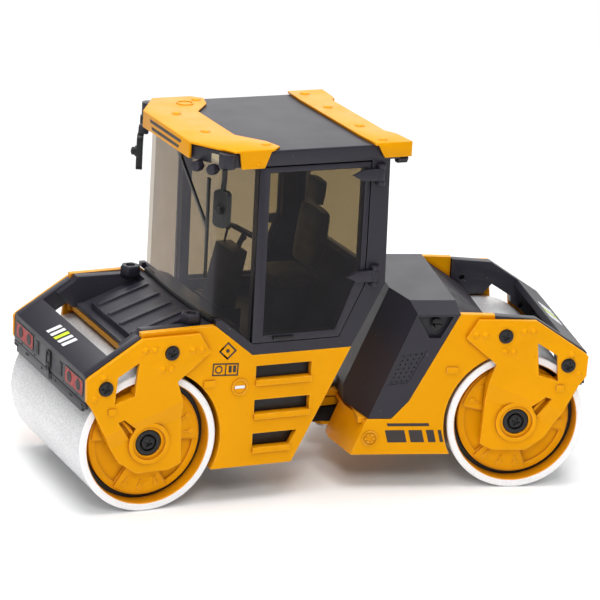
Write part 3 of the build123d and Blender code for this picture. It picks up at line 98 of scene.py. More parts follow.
class Shader:
    """Short way to write a material's node tree. Coordinates are the piece's own, in millimetres."""

    def __init__(self, name):
        self.material = bpy.data.materials.new(name)
        self.material.use_nodes = True
        self.tree = self.material.node_tree
        self.tree.nodes.clear()
        place = self.add("TexCoord").outputs["Object"]
        scaled = self.add("VectorMath", {"operation": "SCALE"}, Vector=place, Scale=1 / MM)
        self.coords = scaled.outputs["Vector"]

    def add(self, kind, settings=None, **inputs):
        node = self.tree.nodes.new("ShaderNode" + kind)
        for key, value in (settings or {}).items():
            setattr(node, key, value)
        for key, value in inputs.items():
            self.feed(node.inputs[key.replace("_", " ")], value)
        return node

    def feed(self, socket, value):
        if isinstance(value, bpy.types.NodeSocket):
            self.tree.links.new(value, socket)
        elif isinstance(value, (tuple, list)) and socket.type == "RGBA":
            socket.default_value = (*value, 1.0) if len(value) == 3 else value
        else:
            socket.default_value = value

    def feed_in_order(self, node, *values):
        for socket, value in zip(node.inputs, values):
            self.feed(socket, value)
        return node

    def math(self, operation, first, second=0.0):
        node = self.add("Math", {"operation": operation})
        return self.feed_in_order(node, first, second).outputs["Value"]

    def vector(self, operation, first, second=(0.0, 0.0, 0.0)):
        """Vector maths: dot products and lengths give a number, the rest a vector."""
        node = self.feed_in_order(self.add("VectorMath", {"operation": operation}), first, second)
        return node.outputs["Value" if operation in ("DOT_PRODUCT", "LENGTH") else "Vector"]

    def noise(self, size, detail=2.0, stretch=None, roughness=0.5):
        """Noise whose features are about size millimetres across, or closer along a stretched axis."""
        coords = self.vector("MULTIPLY", self.coords, stretch) if stretch else self.coords
        noise = self.add("TexNoise", Vector=coords, Scale=1.0 / size, Detail=detail, Roughness=roughness)
        return noise.outputs["Fac"]

    def cells(self, size):
        return self.add("TexVoronoi", Vector=self.coords, Scale=1.0 / size).outputs["Distance"]

    def remap(self, value, from_low, from_high, to_low, to_high):
        node = self.add("MapRange")
        return self.feed_in_order(node, value, from_low, from_high, to_low, to_high).outputs["Result"]

    def vary(self, size, detail, low, high, spread=0.2):
        """Number that wanders from low to high over areas about size millimetres across."""
        return self.remap(self.noise(size, detail), 0.5 - spread, 0.5 + spread, low, high)

    def patches(self, size, detail, start, full, strength, stretch=None):
        """Scattered patches: 0 where the noise is below start, strength where it is above full."""
        return self.remap(self.noise(size, detail, stretch), start, full, 0.0, strength)

    def mix(self, factor, first, second):
        node = self.add("Mix", {"data_type": "RGBA"})
        for index, value in ((0, factor), (6, first), (7, second)):
            self.feed(node.inputs[index], value)
        return node.outputs[2]

    def blend(self, factor, first, second):
        """Mix of two whole surfaces."""
        return self.feed_in_order(self.add("MixShader"), factor, first, second).outputs["Shader"]

    def bump(self, height, depth):
        return self.add("Bump", Height=height, Distance=depth * MM).outputs["Normal"]

    def edges(self, width):
        """1 on edges and corners, 0 on open faces."""
        rounded = self.add("Bevel", {"samples": 6}, Radius=width * MM).outputs["Normal"]
        plain = self.add("NewGeometry").outputs["Normal"]
        flat_cosine, edge_cosine = 0.995, 0.85
        return self.remap(self.vector("DOT_PRODUCT", rounded, plain), flat_cosine, edge_cosine, 0.0, 1.0)

    def hollow_shade_mask(self, reach):
        """Mask for painted shade: 1 in corners and hollows narrower than reach millimetres, 0 in the open."""
        open_sky = self.add("AmbientOcclusion", {"samples": 6}, Distance=reach * MM).outputs["AO"]
        open_share, closed_share = 0.92, 0.45
        return self.remap(open_sky, open_share, closed_share, 0.0, 1.0)

    def surface(self, socket):
        output = self.add("OutputMaterial")
        self.tree.links.new(socket, output.inputs["Surface"])
        return self.material

    def finish(self, **inputs):
        return self.surface(self.add("BsdfPrincipled", **inputs).outputs["BSDF"])


def make_paint(name, base):
    """Sprayed satin paint: colour drift, orange peel, faint dust, edges lighter from wear and painted
    highlight, painted shade in corners.
    """
    worn_and_highlit_edge = (1.0, 0.56, 0.14)
    painted_shade_in_corners = (0.36, 0.085, 0.0)
    sheen_tint = (1.0, 0.72, 0.30)
    shader = Shader(name)
    colour = shader.mix(shader.vary(22.0, 3.0, 0.0, 1.0, spread=0.15), base, darker(base, 0.93))
    # edges lighter, partly from wear and partly painted highlight
    wear_and_highlight = shader.remap(shader.noise(2.2, 4.0), 0.45, 0.62, 0.15, 0.6)
    colour = shader.mix(shader.math("MULTIPLY", shader.edges(0.28), wear_and_highlight), colour, worn_and_highlit_edge)
    # painted shade: darker colour in corners and hollows
    colour = shader.mix(shader.math("MULTIPLY", shader.hollow_shade_mask(1.3), 0.75), colour, painted_shade_in_corners)
    dust = shader.patches(0.9, 1.0, start=0.76, full=0.80, strength=0.5)
    colour = shader.mix(dust, colour, darker(base, 0.72))
    gloss = shader.vary(5.0, 4.0, 0.36, 0.48)
    orange_peel = shader.bump(shader.noise(0.55), 0.012)
    return shader.finish(Base_Color=colour, Roughness=gloss, Normal=orange_peel, Specular_IOR_Level=0.22,
                         Specular_Tint=sheen_tint)


def make_satin_plastic(name, base, smoothest, roughest):
    """Moulded plastic with a fine spark-eroded grain, rubbed smoother along its edges and lighter there from
    wear and painted highlight; painted shade in its hollows.
    """
    wear_and_highlight_edge = tuple(0.6 * channel + 0.08 for channel in base)
    dust_colour = (0.30, 0.29, 0.28)
    shader = Shader(name)
    colour = shader.mix(shader.vary(16.0, 3.0, 0.0, 1.0, spread=0.15), base, darker(base, 0.93))
    edge = shader.edges(0.25)
    # edges lighter, partly from wear and partly painted highlight
    colour = shader.mix(shader.math("MULTIPLY", edge, 0.35), colour, wear_and_highlight_edge)
    dust = shader.patches(0.7, 1.0, start=0.77, full=0.82, strength=0.35)
    colour = shader.mix(dust, colour, dust_colour)
    # painted shade: darker in corners and hollows
    colour = shader.mix(shader.math("MULTIPLY", shader.hollow_shade_mask(1.0), 0.7), colour, darker(base, 0.25))
    gloss = shader.vary(9.0, 2.0, smoothest, roughest)
    gloss = shader.math("SUBTRACT", gloss, shader.math("MULTIPLY", edge, 0.10))
    grain = shader.bump(shader.noise(0.16), 0.008)
    return shader.finish(Base_Color=colour, Roughness=gloss, Normal=grain, Specular_IOR_Level=0.38)


def make_ribbed_plastic(name, base, pitch):
    """Dark plastic with fine grooves that follow the steps of the sloping grille, their shade painted in dark
    and without shine.
    """
    shader = Shader(name)
    backward = (cos(REST_STEER), sin(REST_STEER), 0.0)
    start = PIVOT.x / MM * cos(REST_STEER) + GRILLE_TOP
    run = shader.math("SUBTRACT", shader.vector("DOT_PRODUCT", shader.coords, backward), start)
    step = shader.math("FRACT", shader.math("DIVIDE", run, pitch))
    off_centre = shader.math("ABSOLUTE", shader.math("SUBTRACT", step, 0.5))
    # painted shade: the grooves between the grille's steps, dark and without shine
    groove_shade = shader.remap(off_centre, 0.14, 0.22, 0.0, 1.0)
    rib_colour = shader.mix(shader.vary(1.2, 3.0, 0.75, 1.0, spread=0.15), darker(base, 0.7), base)
    colour = shader.mix(groove_shade, rib_colour, darker(base, 0.06))
    shine = shader.remap(groove_shade, 0.0, 1.0, 0.3, 0.0)
    gloss = shader.vary(3.0, 3.0, 0.34, 0.5)
    return shader.finish(Base_Color=colour, Roughness=gloss, Specular_IOR_Level=shine)


def make_drum_metal(name, shell, centre, axis):
    """Sparkling sprayed silver outside, bright rims, and chipped yellow paint inside the open ends."""
    silver_light, silver_shade, silver_spark = (0.90, 0.90, 0.91), (0.55, 0.55, 0.565), (0.92, 0.92, 0.925)
    scuffed = (0.45, 0.447, 0.44)
    rim_light, rim_shade = (0.97, 0.97, 0.98), (0.80, 0.80, 0.81)
    bare_metal = (0.75, 0.74, 0.72)
    low, high = box_mm(shell)
    bore = (high.z - low.z) / 2 * BORE_SHARE
    shader = Shader(name)
    sparkle = shader.cells(0.34)
    fine = shader.noise(0.2, 3.0, roughness=0.7)

    silver = shader.mix(shader.remap(sparkle, 0.15, 0.62, 0.0, 1.0), silver_light, silver_shade)
    silver = shader.mix(shader.remap(fine, 0.40, 0.7, 0.0, 0.8), silver, silver_spark)
    scuff = shader.patches(9.0, 5.0, start=0.48, full=0.72, strength=0.25, stretch=(1.0, 0.2, 1.0))
    silver = shader.mix(scuff, silver, scuffed)

    facing = shader.vector("DOT_PRODUCT", shader.add("NewGeometry").outputs["Normal"], axis)
    rim = shader.remap(shader.math("ABSOLUTE", facing), 0.5, 0.7, 0.0, 1.0)
    rim_silver = shader.mix(shader.remap(fine, 0.35, 0.65, 0.0, 1.0), rim_light, rim_shade)
    silver = shader.mix(rim, silver, rim_silver)

    from_axle = shader.vector("CROSS_PRODUCT", shader.vector("SUBTRACT", shader.coords, centre / MM), axis)
    inside = shader.remap(shader.vector("LENGTH", from_axle), bore + 0.22, bore + 0.12, 0.0, 1.0)
    chips = shader.patches(1.1, 2.0, start=0.74, full=0.76, strength=1.0)
    colour = shader.mix(inside, silver, shader.mix(chips, darker(YELLOW, 0.9), bare_metal))

    metal = shader.math("MULTIPLY", shader.math("SUBTRACT", 1.0, inside), 0.66)
    metal = shader.math("MULTIPLY", metal, shader.remap(rim, 0.0, 1.0, 1.0, 0.15))
    gloss = shader.remap(fine, 0.3, 0.7, 0.34, 0.52)
    grain = shader.bump(shader.math("ADD", fine, shader.math("MULTIPLY", sparkle, 0.6)), 0.045)
    return shader.finish(Base_Color=colour, Metallic=metal, Roughness=gloss, Normal=grain)


def make_steel(name, base, gloss):
    """Turned steel with fine rings of tool marks and a little tarnish."""
    shader = Shader(name)
    marks = shader.noise(0.5, 3.0, stretch=(1.0, 8.0, 1.0))
    tarnish = shader.patches(1.6, 4.0, start=0.5, full=0.75, strength=0.5)
    roughness = shader.remap(marks, 0.3, 0.7, gloss, gloss + 0.18)
    colour = shader.mix(tarnish, base, darker(base, 0.6))
    grain = shader.bump(marks, 0.01)
    return shader.finish(Base_Color=colour, Metallic=1.0, Roughness=roughness, Normal=grain)


def make_black_screw(name):
    """Blackened steel, bright where edges have been rubbed."""
    black_oxide, bare_edge = (0.016, 0.016, 0.018), (0.16, 0.155, 0.15)
    shader = Shader(name)
    worn = shader.math("MULTIPLY", shader.edges(0.15), shader.vary(0.5, 3.0, 0.2, 0.9, spread=0.1))
    colour = shader.mix(worn, black_oxide, bare_edge)
    gloss = shader.vary(0.6, 3.0, 0.28, 0.45)
    grain = shader.bump(shader.noise(0.2), 0.008)
    return shader.finish(Base_Color=colour, Metallic=0.55, Roughness=gloss, Normal=grain)


def make_smoked_glass(name, tint):
    """Thin clear brown plastic. The pale studio mirrored in it is painted as an even glowing sheen, patchy
    and stronger at a slant.
    """
    shader = Shader(name)
    patchy_reflection = shader.vary(7.0, 4.0, 0.62, 0.78)
    ripple = shader.bump(shader.noise(14.0, 1.0), 0.05)
    colour = shader.mix(shader.vary(18.0, 2.0, 0.0, 1.0), tint, darker(tint, 0.97))
    clear = shader.add("BsdfTransparent", Color=colour).outputs["BSDF"]
    # painted reflection: a glow standing in for the pale studio mirrored in the glass
    painted_reflection = shader.add("Emission", Color=(0.92, 0.90, 1.0), Strength=0.8).outputs["Emission"]
    slant = shader.add("Fresnel", IOR=1.45, Normal=ripple).outputs["Fac"]
    outside = shader.math("SUBTRACT", 1.0, shader.add("NewGeometry").outputs["Backfacing"])
    share = shader.math("MULTIPLY", shader.math("MULTIPLY", slant, patchy_reflection), outside)
    return shader.surface(shader.blend(share, clear, painted_reflection))


def make_gloss_plastic(name, base, gloss):
    """Clear moulded plastic of the lamps, with faint clouding."""
    shader = Shader(name)
    clouds = shader.vary(1.6, 2.0, 0.0, 1.0)
    colour = shader.mix(clouds, base, darker(base, 0.8))
    roughness = shader.remap(clouds, 0.0, 1.0, gloss, gloss + 0.12)
    grain = shader.bump(shader.noise(0.3), 0.006)
    return shader.finish(Base_Color=colour, Roughness=roughness, Normal=grain, Specular_IOR_Level=0.3)


def make_vinyl(name):
    """Seat covering: pebbled grain with sheen."""
    between, crown = (0.010, 0.010, 0.012), (0.018, 0.018, 0.021)
    shader = Shader(name)
    pebbles = shader.cells(0.45)
    colour = shader.mix(shader.remap(pebbles, 0.1, 0.6, 0.0, 1.0), between, crown)
    return shader.finish(Base_Color=colour, Roughness=shader.vary(3.0, 3.0, 0.42, 0.6), Sheen_Weight=0.25,
                         Normal=shader.bump(pebbles, 0.035))


def make_print(name, base):
    """Pad-printed ink with a slightly broken, thin coverage."""
    shader = Shader(name)
    thin = shader.patches(0.35, 3.0, start=0.62, full=0.75, strength=0.35)
    colour = shader.mix(thin, base, darker(base, 0.7))
    gloss = shader.vary(0.5, 2.0, 0.4, 0.55)
    return shader.finish(Base_Color=colour, Roughness=gloss, Normal=shader.bump(shader.noise(0.2), 0.004))


MATERIALS = {
    "yellow": make_paint("yellow_paint", YELLOW),
    "dark": make_satin_plastic("dark_plastic", DARK, 0.42, 0.46),
    "black": make_satin_plastic("black_plastic", BLACK, 0.38, 0.46),
    "grille": make_ribbed_plastic("grille_plastic", (0.075, 0.07, 0.085), GRILLE_PITCH),
    "front_drum": make_drum_metal("front_drum_silver", "front_drum_shell", FRONT_AXLE, FRONT_AXIS),
    "rear_drum": make_drum_metal("rear_drum_silver", "rear_drum_shell", REAR_AXLE, REAR_AXIS),
    "steel": make_steel("bright_steel", (0.62, 0.61, 0.60), 0.22),
    "mirror": make_steel("mirror_silver", (0.80, 0.81, 0.82), 0.04),
    "screw": make_black_screw("blackened_steel"),
    "glass": make_smoked_glass("smoked_glass", (0.64, 0.59, 0.475)),
    "screen": make_smoked_glass("windscreen_glass", (0.71, 0.67, 0.61)),
    "red": make_gloss_plastic("red_plastic", (0.40, 0.018, 0.014), 0.38),
    "lens": make_gloss_plastic("dark_lens", (0.006, 0.0025, 0.003), 0.42),
    "vinyl": make_vinyl("seat_vinyl"),
    "white_print": make_print("white_print", (0.80, 0.81, 0.84)),
    "dark_print": make_print("dark_print", (0.022, 0.015, 0.014)),
    "lime_print": make_print("lime_print", (0.62, 0.80, 0.02)),
}

NODE_MATERIALS = {
    "yellow": ["front_frame", "rear_frame", "front_left_arm", "front_right_arm", "rear_left_arm",
               "rear_right_arm", "front_drum_discs", "rear_drum_discs", "roof_visor", "roof_rear_strip"],
    "dark": ["front_cover", "rear_bar", "rear_hood", "cab_frame", "left_door_frame", "right_door_frame",
             "left_door_straps", "right_door_straps", "door_hinge_brackets", "roof_panel", "roof_lamps",
             "rear_roof_lamps", "filler_caps"],
    "black": ["link_tongue", "cab_floor", "front_belly_plate", "rear_belly_plate", "front_slot_liners",
              "left_door_handle", "right_door_handle", "mirror_arms", "mirror_housings", "wiper",
              "front_axle_bushes", "rear_axle_bushes", "seat_base", "steering_console", "steering_wheel"],
    "grille": ["rear_grille"],
    "front_drum": ["front_drum_shell"],
    "rear_drum": ["rear_drum_shell"],
    "steel": ["front_axle", "rear_axle", "pivot_pin"],
    "screw": ["front_arm_screws", "rear_arm_screws", "front_axle_screws", "rear_axle_screws",
              "front_belly_screws", "rear_belly_screws", "rear_hood_screws"],
    "glass": ["left_door_glass", "right_door_glass", "rear_window"],
    "screen": ["windscreen"],
    "red": ["front_lamp_panels"],
    "lens": ["front_lamp_lenses"],
    "vinyl": ["seat"],
}


# ---- shading of the CAD pieces ----
WELD_DISTANCE = 2e-6            # metres
FLAT_ANGLE = radians(0.4)       # faces closer than this are merged before their edges are rounded
ROUND_ANGLE = radians(35)       # edges steeper than this are rounded
ROUND_STEPS = 2
EDGE_ROUND = {"dark": 0.16, "yellow": 0.22, "black": 0.12, "screw": 0.08, "steel": 0.1, "grille": 0.05}
SMOOTH_UP_TO = 32               # degrees
SMOOTH_UP_TO_IN = {
    "front_left_arm": 15, "front_right_arm": 15, "rear_left_arm": 15, "rear_right_arm": 15,
    "front_frame": 15, "rear_frame": 15, "cab_frame": 15, "rear_hood": 12,
}


def smoothing_group(steepest):
    """Modifier nodes that shade smooth across edges up to steepest degrees and crisp across the rest."""
    group = bpy.data.node_groups.new(f"shade_by_angle_{steepest}", "GeometryNodeTree")
    for way in ("INPUT", "OUTPUT"):
        group.interface.new_socket("Geometry", in_out=way, socket_type="NodeSocketGeometry")
    start = group.nodes.new("NodeGroupInput")
    end = group.nodes.new("NodeGroupOutput")
    drop = group.nodes.new("GeometryNodeRemoveAttribute")
    drop.inputs["Name"].default_value = "custom_normal"
    faces = group.nodes.new("GeometryNodeSetShadeSmooth")
    steep = group.nodes.new("GeometryNodeInputMeshEdgeAngle")
    compare = group.nodes.new("FunctionNodeCompare")
    compare.inputs[1].default_value = radians(steepest)
    sharp = group.nodes.new("GeometryNodeSetShadeSmooth")
    sharp.domain = "EDGE"
    sharp.inputs["Shade Smooth"].default_value = False
    link = group.links.new
    link(start.outputs[0], drop.inputs["Geometry"])
    link(drop.outputs[0], faces.inputs["Geometry"])
    link(faces.outputs[0], sharp.inputs["Geometry"])
    link(steep.outputs["Unsigned Angle"], compare.inputs[0])
    link(compare.outputs[0], sharp.inputs["Selection"])
    link(sharp.outputs[0], end.inputs[0])
    return group


SMOOTHING = {angle: smoothing_group(angle) for angle in sorted({SMOOTH_UP_TO, *SMOOTH_UP_TO_IN.values()})}


def round_edges(piece, width):
    rounding = piece.modifiers.new("rounding", "BEVEL")
    rounding.width = width * MM
    rounding.segments = ROUND_STEPS
    rounding.limit_method = "ANGLE"
    rounding.angle_limit = ROUND_ANGLE


def shade(piece):
    steepest = SMOOTH_UP_TO_IN.get(piece.name, SMOOTH_UP_TO)
    piece.modifiers.new("shade", "NODES").node_group = SMOOTHING[steepest]


def dress(piece, key):
    """Give a CAD piece its material, rounded edges and shading."""
    piece.data.materials.clear()
    piece.data.materials.append(MATERIALS[key])
    piece.modifiers.new("weld", "WELD").merge_threshold = WELD_DISTANCE
    if key in EDGE_ROUND:
        flat = piece.modifiers.new("flat_faces", "DECIMATE")
        flat.decimate_type = "DISSOLVE"
        flat.angle_limit = FLAT_ANGLE
        round_edges(piece, EDGE_ROUND[key])
    shade(piece)


for key, names in NODE_MATERIALS.items():
    for name in names:
        dress(NODES[name], key)


# ---- shape helpers: shapes are drawn in millimetres, as the machine stands steered straight ----
PRINT_LIFT = (-0.02, 0.06)      # a printed mark, from just inside its surface to just proud of it
DOME_ROOT = -0.1
DOME_RISES = [radians(angle) for angle in (0, 22, 44, 64, 80)]
RING_ROOT = -0.05
JOIN_DISTANCE = 1e-5


def surface(origin, u_axis, v_axis, outward):
    """Matrix from local (u, v, w) to the machine, with w standing out of a surface."""
    turn = Matrix([Vector(axis).normalized() for axis in (u_axis, v_axis, outward)]).transposed()
    return Matrix.Translation(Vector(origin)) @ turn.to_4x4()


def side_surface(sign, y):
    return surface((0, sign * y, 0), X_AXIS, Z_AXIS, sign * Y_AXIS)


def slanted(left, right, bottom, top, bottom_lean=0.0, top_lean=0.0):
    """Corners of a bar, leaning where its two ends are shifted along u."""
    return [(left + bottom_lean, bottom), (right + bottom_lean, bottom),
            (right + top_lean, top), (left + top_lean, top)]


def tapered(half_bottom, half_top, bottom, top):
    """Corners of a bar that is centred on u = 0 and narrows towards one end."""
    return [(-half_bottom, bottom), (half_bottom, bottom), (half_top, top), (-half_top, top)]


def full_turn(segments):
    return [2 * pi * step / segments for step in range(segments)]


class Batch:
    """Collects shapes of one material that ride on one body."""

    def __init__(self):
        self.mesh = bmesh.new()

    def loops(self, rings, place, closed_ends=True):
        """Skin a list of equally long point loops, each given in local coordinates."""
        levels = [[self.mesh.verts.new(place @ Vector(point)) for point in ring] for ring in rings]
        count = len(levels[0])
        for below, above in zip(levels, levels[1:]):
            for index in range(count):
                after = (index + 1) % count
                self.mesh.faces.new((below[index], below[after], above[after], above[index]))
        if closed_ends:
            self.mesh.faces.new(levels[0])
            self.mesh.faces.new(levels[-1])

    def prism(self, points, place, low, high):
        self.loops([[(u, v, low) for u, v in points], [(u, v, high) for u, v in points]], place)

    def lathe(self, centre, profile, place, segments):
        """Solid turned from (radius, height) points round the surface's outward direction."""
        turns = full_turn(segments)
        rings = [[(centre[0] + radius * cos(turn), centre[1] + radius * sin(turn), height) for turn in turns]
                 for radius, height in profile]
        self.loops(rings, place)

    def spin(self, centre, section, place, segments):
        """Ring swept from a closed section of (radius, height) points round the outward direction."""
        levels = [[(centre[0] + radius * cos(turn), centre[1] + radius * sin(turn), height)
                   for radius, height in section] for turn in full_turn(segments)]
        self.loops([*levels, levels[0]], place, closed_ends=False)

    def dome(self, centre, radius, height, place):
        crown = [(radius * cos(rise), height * sin(rise)) for rise in DOME_RISES]
        self.lathe(centre, [(radius, DOME_ROOT), *crown], place, segments=20)

    def ring(self, centre, outer, inner, height, place, root=RING_ROOT):
        """Raised ring with a rounded top."""
        middle, quarter = (outer + inner) / 2, (outer - inner) / 4
        shoulder = height * 0.6
        section = [(outer, root), (outer, shoulder), (middle + quarter, height), (middle - quarter, height),
                   (inner, shoulder), (inner, root)]
        self.spin(centre, section, place, segments=32)

    def outline(self, points, width, place, low, high):
        """Closed frame of the given line width along the inside of a polygon."""
        centre = Vector((sum(p[0] for p in points), sum(p[1] for p in points))) / len(points)
        inner = []
        for index, point in enumerate(points):
            here = Vector(point)
            before = (here - Vector(points[index - 1])).normalized()
            after = (Vector(points[(index + 1) % len(points)]) - here).normalized()
            bisector = (after - before).normalized()
            if bisector.dot(centre - here) < 0:
                bisector.negate()
            sine = abs(before.x * bisector.y - before.y * bisector.x)
            inner.append(tuple(here + bisector * (width / sine)))
        for index in range(len(points)):
            after = (index + 1) % len(points)
            self.prism([points[index], points[after], inner[after], inner[index]], place, low, high)

    def tube(self, path, radius, place=Matrix.Identity(4), segments=10):
        """Round bar along a path of local points."""
        points = [Vector(point) for point in path]
        normal = (points[1] - points[0]).normalized().orthogonal().normalized()
        rings = []
        for index, point in enumerate(points):
            ahead = (points[min(index + 1, len(points) - 1)] - points[max(index - 1, 0)]).normalized()
            normal = (normal - ahead * normal.dot(ahead)).normalized()
            across = ahead.cross(normal)
            rings.append([tuple(point + radius * (normal * cos(turn) + across * sin(turn)))
                          for turn in full_turn(segments)])
        self.loops(rings, place)

    def save(self, name, material, body, slot, rounding=0.0, turned=False):
        """Finish as one piece; turned pieces belong to the rear half."""
        bmesh.ops.remove_doubles(self.mesh, verts=self.mesh.verts, dist=JOIN_DISTANCE)
        bmesh.ops.recalc_face_normals(self.mesh, faces=self.mesh.faces)
        data = bpy.data.meshes.new(name)
        self.mesh.to_mesh(data)
        self.mesh.free()
        data.transform(Matrix.Scale(MM, 4))
        if turned:
            data.transform(TO_REAR)
        data.materials.append(MATERIALS[material])
        piece = bpy.data.objects.new(name, data)
        bpy.context.scene.collection.objects.link(piece)
        if rounding:
            round_edges(piece, rounding)
        shade(piece)
        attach(piece, body)
        return piece


# ---- marks printed on the body: plain bars and frames in place of any lettering ----
WALL_Y = box_mm("cab_frame")[1].y       # outer face of the body walls

BAR_TOP_OUTER = (63.9, 33.7)            # (x, z) of the two edges of an end bar's sloping top
BAR_TOP_INNER = (58.1, 37.4)
BAR_MARK_PITCH = 2.5
BAR_MARK_WIDTH = 1.5
BAR_MARK_HALF_HEIGHT = 1.7
BAR_MARK_LEAN = 0.8
BAR_MARKS = (("white_print", (-2, -1, 1, 2), "drum_silver"), ("lime_print", (0,), "yellow_paint"))

DIAMOND = [(29.8, 39.2), (32.0, 37.0), (29.8, 34.9), (27.6, 37.0)]
DIAMOND_LINE = 0.36
DOT_CENTRE = (29.8, 37.05)
DOT_PROFILE = [(0.45, -0.02), (0.45, 0.06), (0.2, 0.07)]

PANEL = [(33.3, 34.3), (26.9, 33.9), (27.0, 30.9), (33.4, 31.3)]
PANEL_LINE = 0.3
PANEL_DIVIDER = slanted(29.95, 30.2, 31.2, 34.0, bottom_lean=0.1)
PANEL_RING_CENTRE = (31.8, 32.7)
PANEL_RING_RADII = (0.95, 0.65)
PANEL_BARS_X = (27.9, 29.0)
PANEL_BAR_HALF_WIDTH = 0.35
PANEL_BAR_HEIGHTS = (31.8, 33.4)

BADGE_BAR = slanted(25.2, 27.6, 27.75, 28.45)
BADGE_LIFT = (0.08, 0.22)

REAR_STRIPE = slanted(-17.0, -27.0, 15.6, 16.3, bottom_lean=-0.3)
REAR_BLOCKS = ((-17.0, -21.6), (-22.6, -25.8), (-26.8, -28.6), (-29.6, -30.4))
REAR_BLOCK_HEIGHTS = (11.6, 14.6)
REAR_BLOCK_LEANS = (-0.5, 0.3)

VISOR_STRIPES_Z = 82.0
VISOR_STRIPES = ((0.75, 9.6), (-0.75, 8.4))     # (height above the line, half length)
VISOR_STRIPE_HALF_HEIGHT = 0.35
VISOR_STRIPE_TAPER = 0.5


def bar_top_surface(direction):
    run_x, run_z = (inner - outer for inner, outer in zip(BAR_TOP_INNER, BAR_TOP_OUTER))
    middle_x, middle_z = ((inner + outer) / 2 for inner, outer in zip(BAR_TOP_INNER, BAR_TOP_OUTER))
    return surface((direction * middle_x, 0, middle_z), direction * Y_AXIS, (direction * run_x, 0, run_z),
                   (direction * run_z, 0, -run_x))


def add_bar_marks(direction, name, body):
    """Slanted bars on an end bar: four white ones round a lime one."""
    place = bar_top_surface(direction)
    for ink, steps, slot in BAR_MARKS:
        marks = Batch()
        for step in steps:
            left = step * BAR_MARK_PITCH - BAR_MARK_WIDTH / 2
            marks.prism(slanted(left, left + BAR_MARK_WIDTH, -BAR_MARK_HALF_HEIGHT, BAR_MARK_HALF_HEIGHT,
                                -BAR_MARK_LEAN, BAR_MARK_LEAN), place, *PRINT_LIFT)
        marks.save(f"{name}_bar_{ink}", ink, body, slot, turned=direction < 0)


def add_front_side_marks():
    """A diamond and a framed panel on each side of the front half, and the pale bar on the round badge."""
    prints = Batch()
    badge = Batch()
    for sign in (1, -1):
        place = side_surface(sign, WALL_Y)
        prints.outline(DIAMOND, DIAMOND_LINE, place, *PRINT_LIFT)
        prints.lathe(DOT_CENTRE, DOT_PROFILE, place, segments=16)
        prints.outline(PANEL, PANEL_LINE, place, *PRINT_LIFT)
        prints.prism(PANEL_DIVIDER, place, *PRINT_LIFT)
        prints.ring(PANEL_RING_CENTRE, *PANEL_RING_RADII, PRINT_LIFT[1], place, PRINT_LIFT[0])
        for u in PANEL_BARS_X:
            bar = slanted(u - PANEL_BAR_HALF_WIDTH, u + PANEL_BAR_HALF_WIDTH, *PANEL_BAR_HEIGHTS)
            prints.prism(bar, place, *PRINT_LIFT)
        badge.prism(BADGE_BAR, place, *BADGE_LIFT)
    prints.save("front_side_prints", "dark_print", "front_half", "black_plastic")
    badge.save("badge_bars", "white_print", "front_half", "drum_silver", rounding=0.06)


def add_rear_side_marks():
    """A long stripe over four blocks on each side of the rear half."""
    stripes = Batch()
    for sign in (1, -1):
        place = side_surface(sign, WALL_Y)
        stripes.prism(REAR_STRIPE, place, *PRINT_LIFT)
        for left, right in REAR_BLOCKS:
            stripes.prism(slanted(left, right, *REAR_BLOCK_HEIGHTS, *REAR_BLOCK_LEANS), place, *PRINT_LIFT)
    stripes.save("rear_side_stripes", "dark_print", "rear_half", "black_plastic", turned=True)


def add_visor_marks():
    face_x = box_mm("roof_visor")[1].x
    place = surface((face_x, 0, VISOR_STRIPES_Z), Y_AXIS, Z_AXIS, X_AXIS)
    stripes = Batch()
    for level, reach in VISOR_STRIPES:
        stripe = tapered(reach - VISOR_STRIPE_TAPER, reach, level - VISOR_STRIPE_HALF_HEIGHT,
                         level + VISOR_STRIPE_HALF_HEIGHT)
        stripes.prism(stripe, place, *PRINT_LIFT)
    stripes.save("visor_stripes", "dark_print", "front_half", "black_plastic")


# ---- fittings on the face of an end bar ----
VENT_CENTRES_Y = (-7.8, 7.8)
VENT_BAR_PITCH = 0.55
VENT_BAR_HALF_WIDTH = 0.16
VENT_BAR_HEIGHTS = (28.8, 31.8)
VENT_BAR_LIFT = (-0.05, 0.14)
LOW_BOLTS_Y = (-22.6, -21.6, -15.2, -14.2, -4.6, 4.6, 14.2, 15.2, 21.6, 22.6)
LOW_BOLTS_Z = 26.4
LOW_BOLT_SIZE = (0.32, 0.2)             # radius, height
HIGH_BOLTS_Y = (-18.4, -9.6, 0.0, 9.6, 18.4)
HIGH_BOLTS_Z = 27.9
HIGH_BOLT_SIZE = (0.28, 0.16)
EYE_PLATE = tapered(1.15, 0.55, 25.7, 29.4)
EYE_PLATE_LIFT = (-0.05, 0.35)
EYE_CENTRE = (0, 28.3)
EYE_RING = (1.0, 0.5, 0.6)              # outer radius, inner radius, height
HANDLE = [(-1.25, 28.6), (-1.25, 31.6), (-1.0, 32.0), (1.0, 32.0), (1.25, 31.6), (1.25, 28.6)]
HANDLE_RADIUS = 0.2
LAMP_FRAME_Y = (10.7, 22.3)
LAMP_FRAME_Z = (28.5, 32.3)
LAMP_FRAME_LINE = 0.22
LAMP_FRAME_LIFT = (-0.05, 0.12)
LAMP_CENTRES_Y = (13.6, 19.2)
LAMP_Z = 30.4
LAMP_RING = (1.38, 1.12, 0.2)
LAMP_BOLTS_Y = (11.5, 16.4, 21.5)
LAMP_BOLTS_Z = (29.2, 31.6)
LAMP_BOLT_SIZE = (0.26, 0.16)


def add_lamp_frames(fittings, place):
    for sign in (1, -1):
        near, far = (sign * y for y in LAMP_FRAME_Y)
        fittings.outline(slanted(near, far, *LAMP_FRAME_Z), LAMP_FRAME_LINE, place, *LAMP_FRAME_LIFT)
        for y in LAMP_CENTRES_Y:
            fittings.ring((sign * y, LAMP_Z), *LAMP_RING, place)
        for y in LAMP_BOLTS_Y:
            for z in LAMP_BOLTS_Z:
                fittings.dome((sign * y, z), *LAMP_BOLT_SIZE, place)


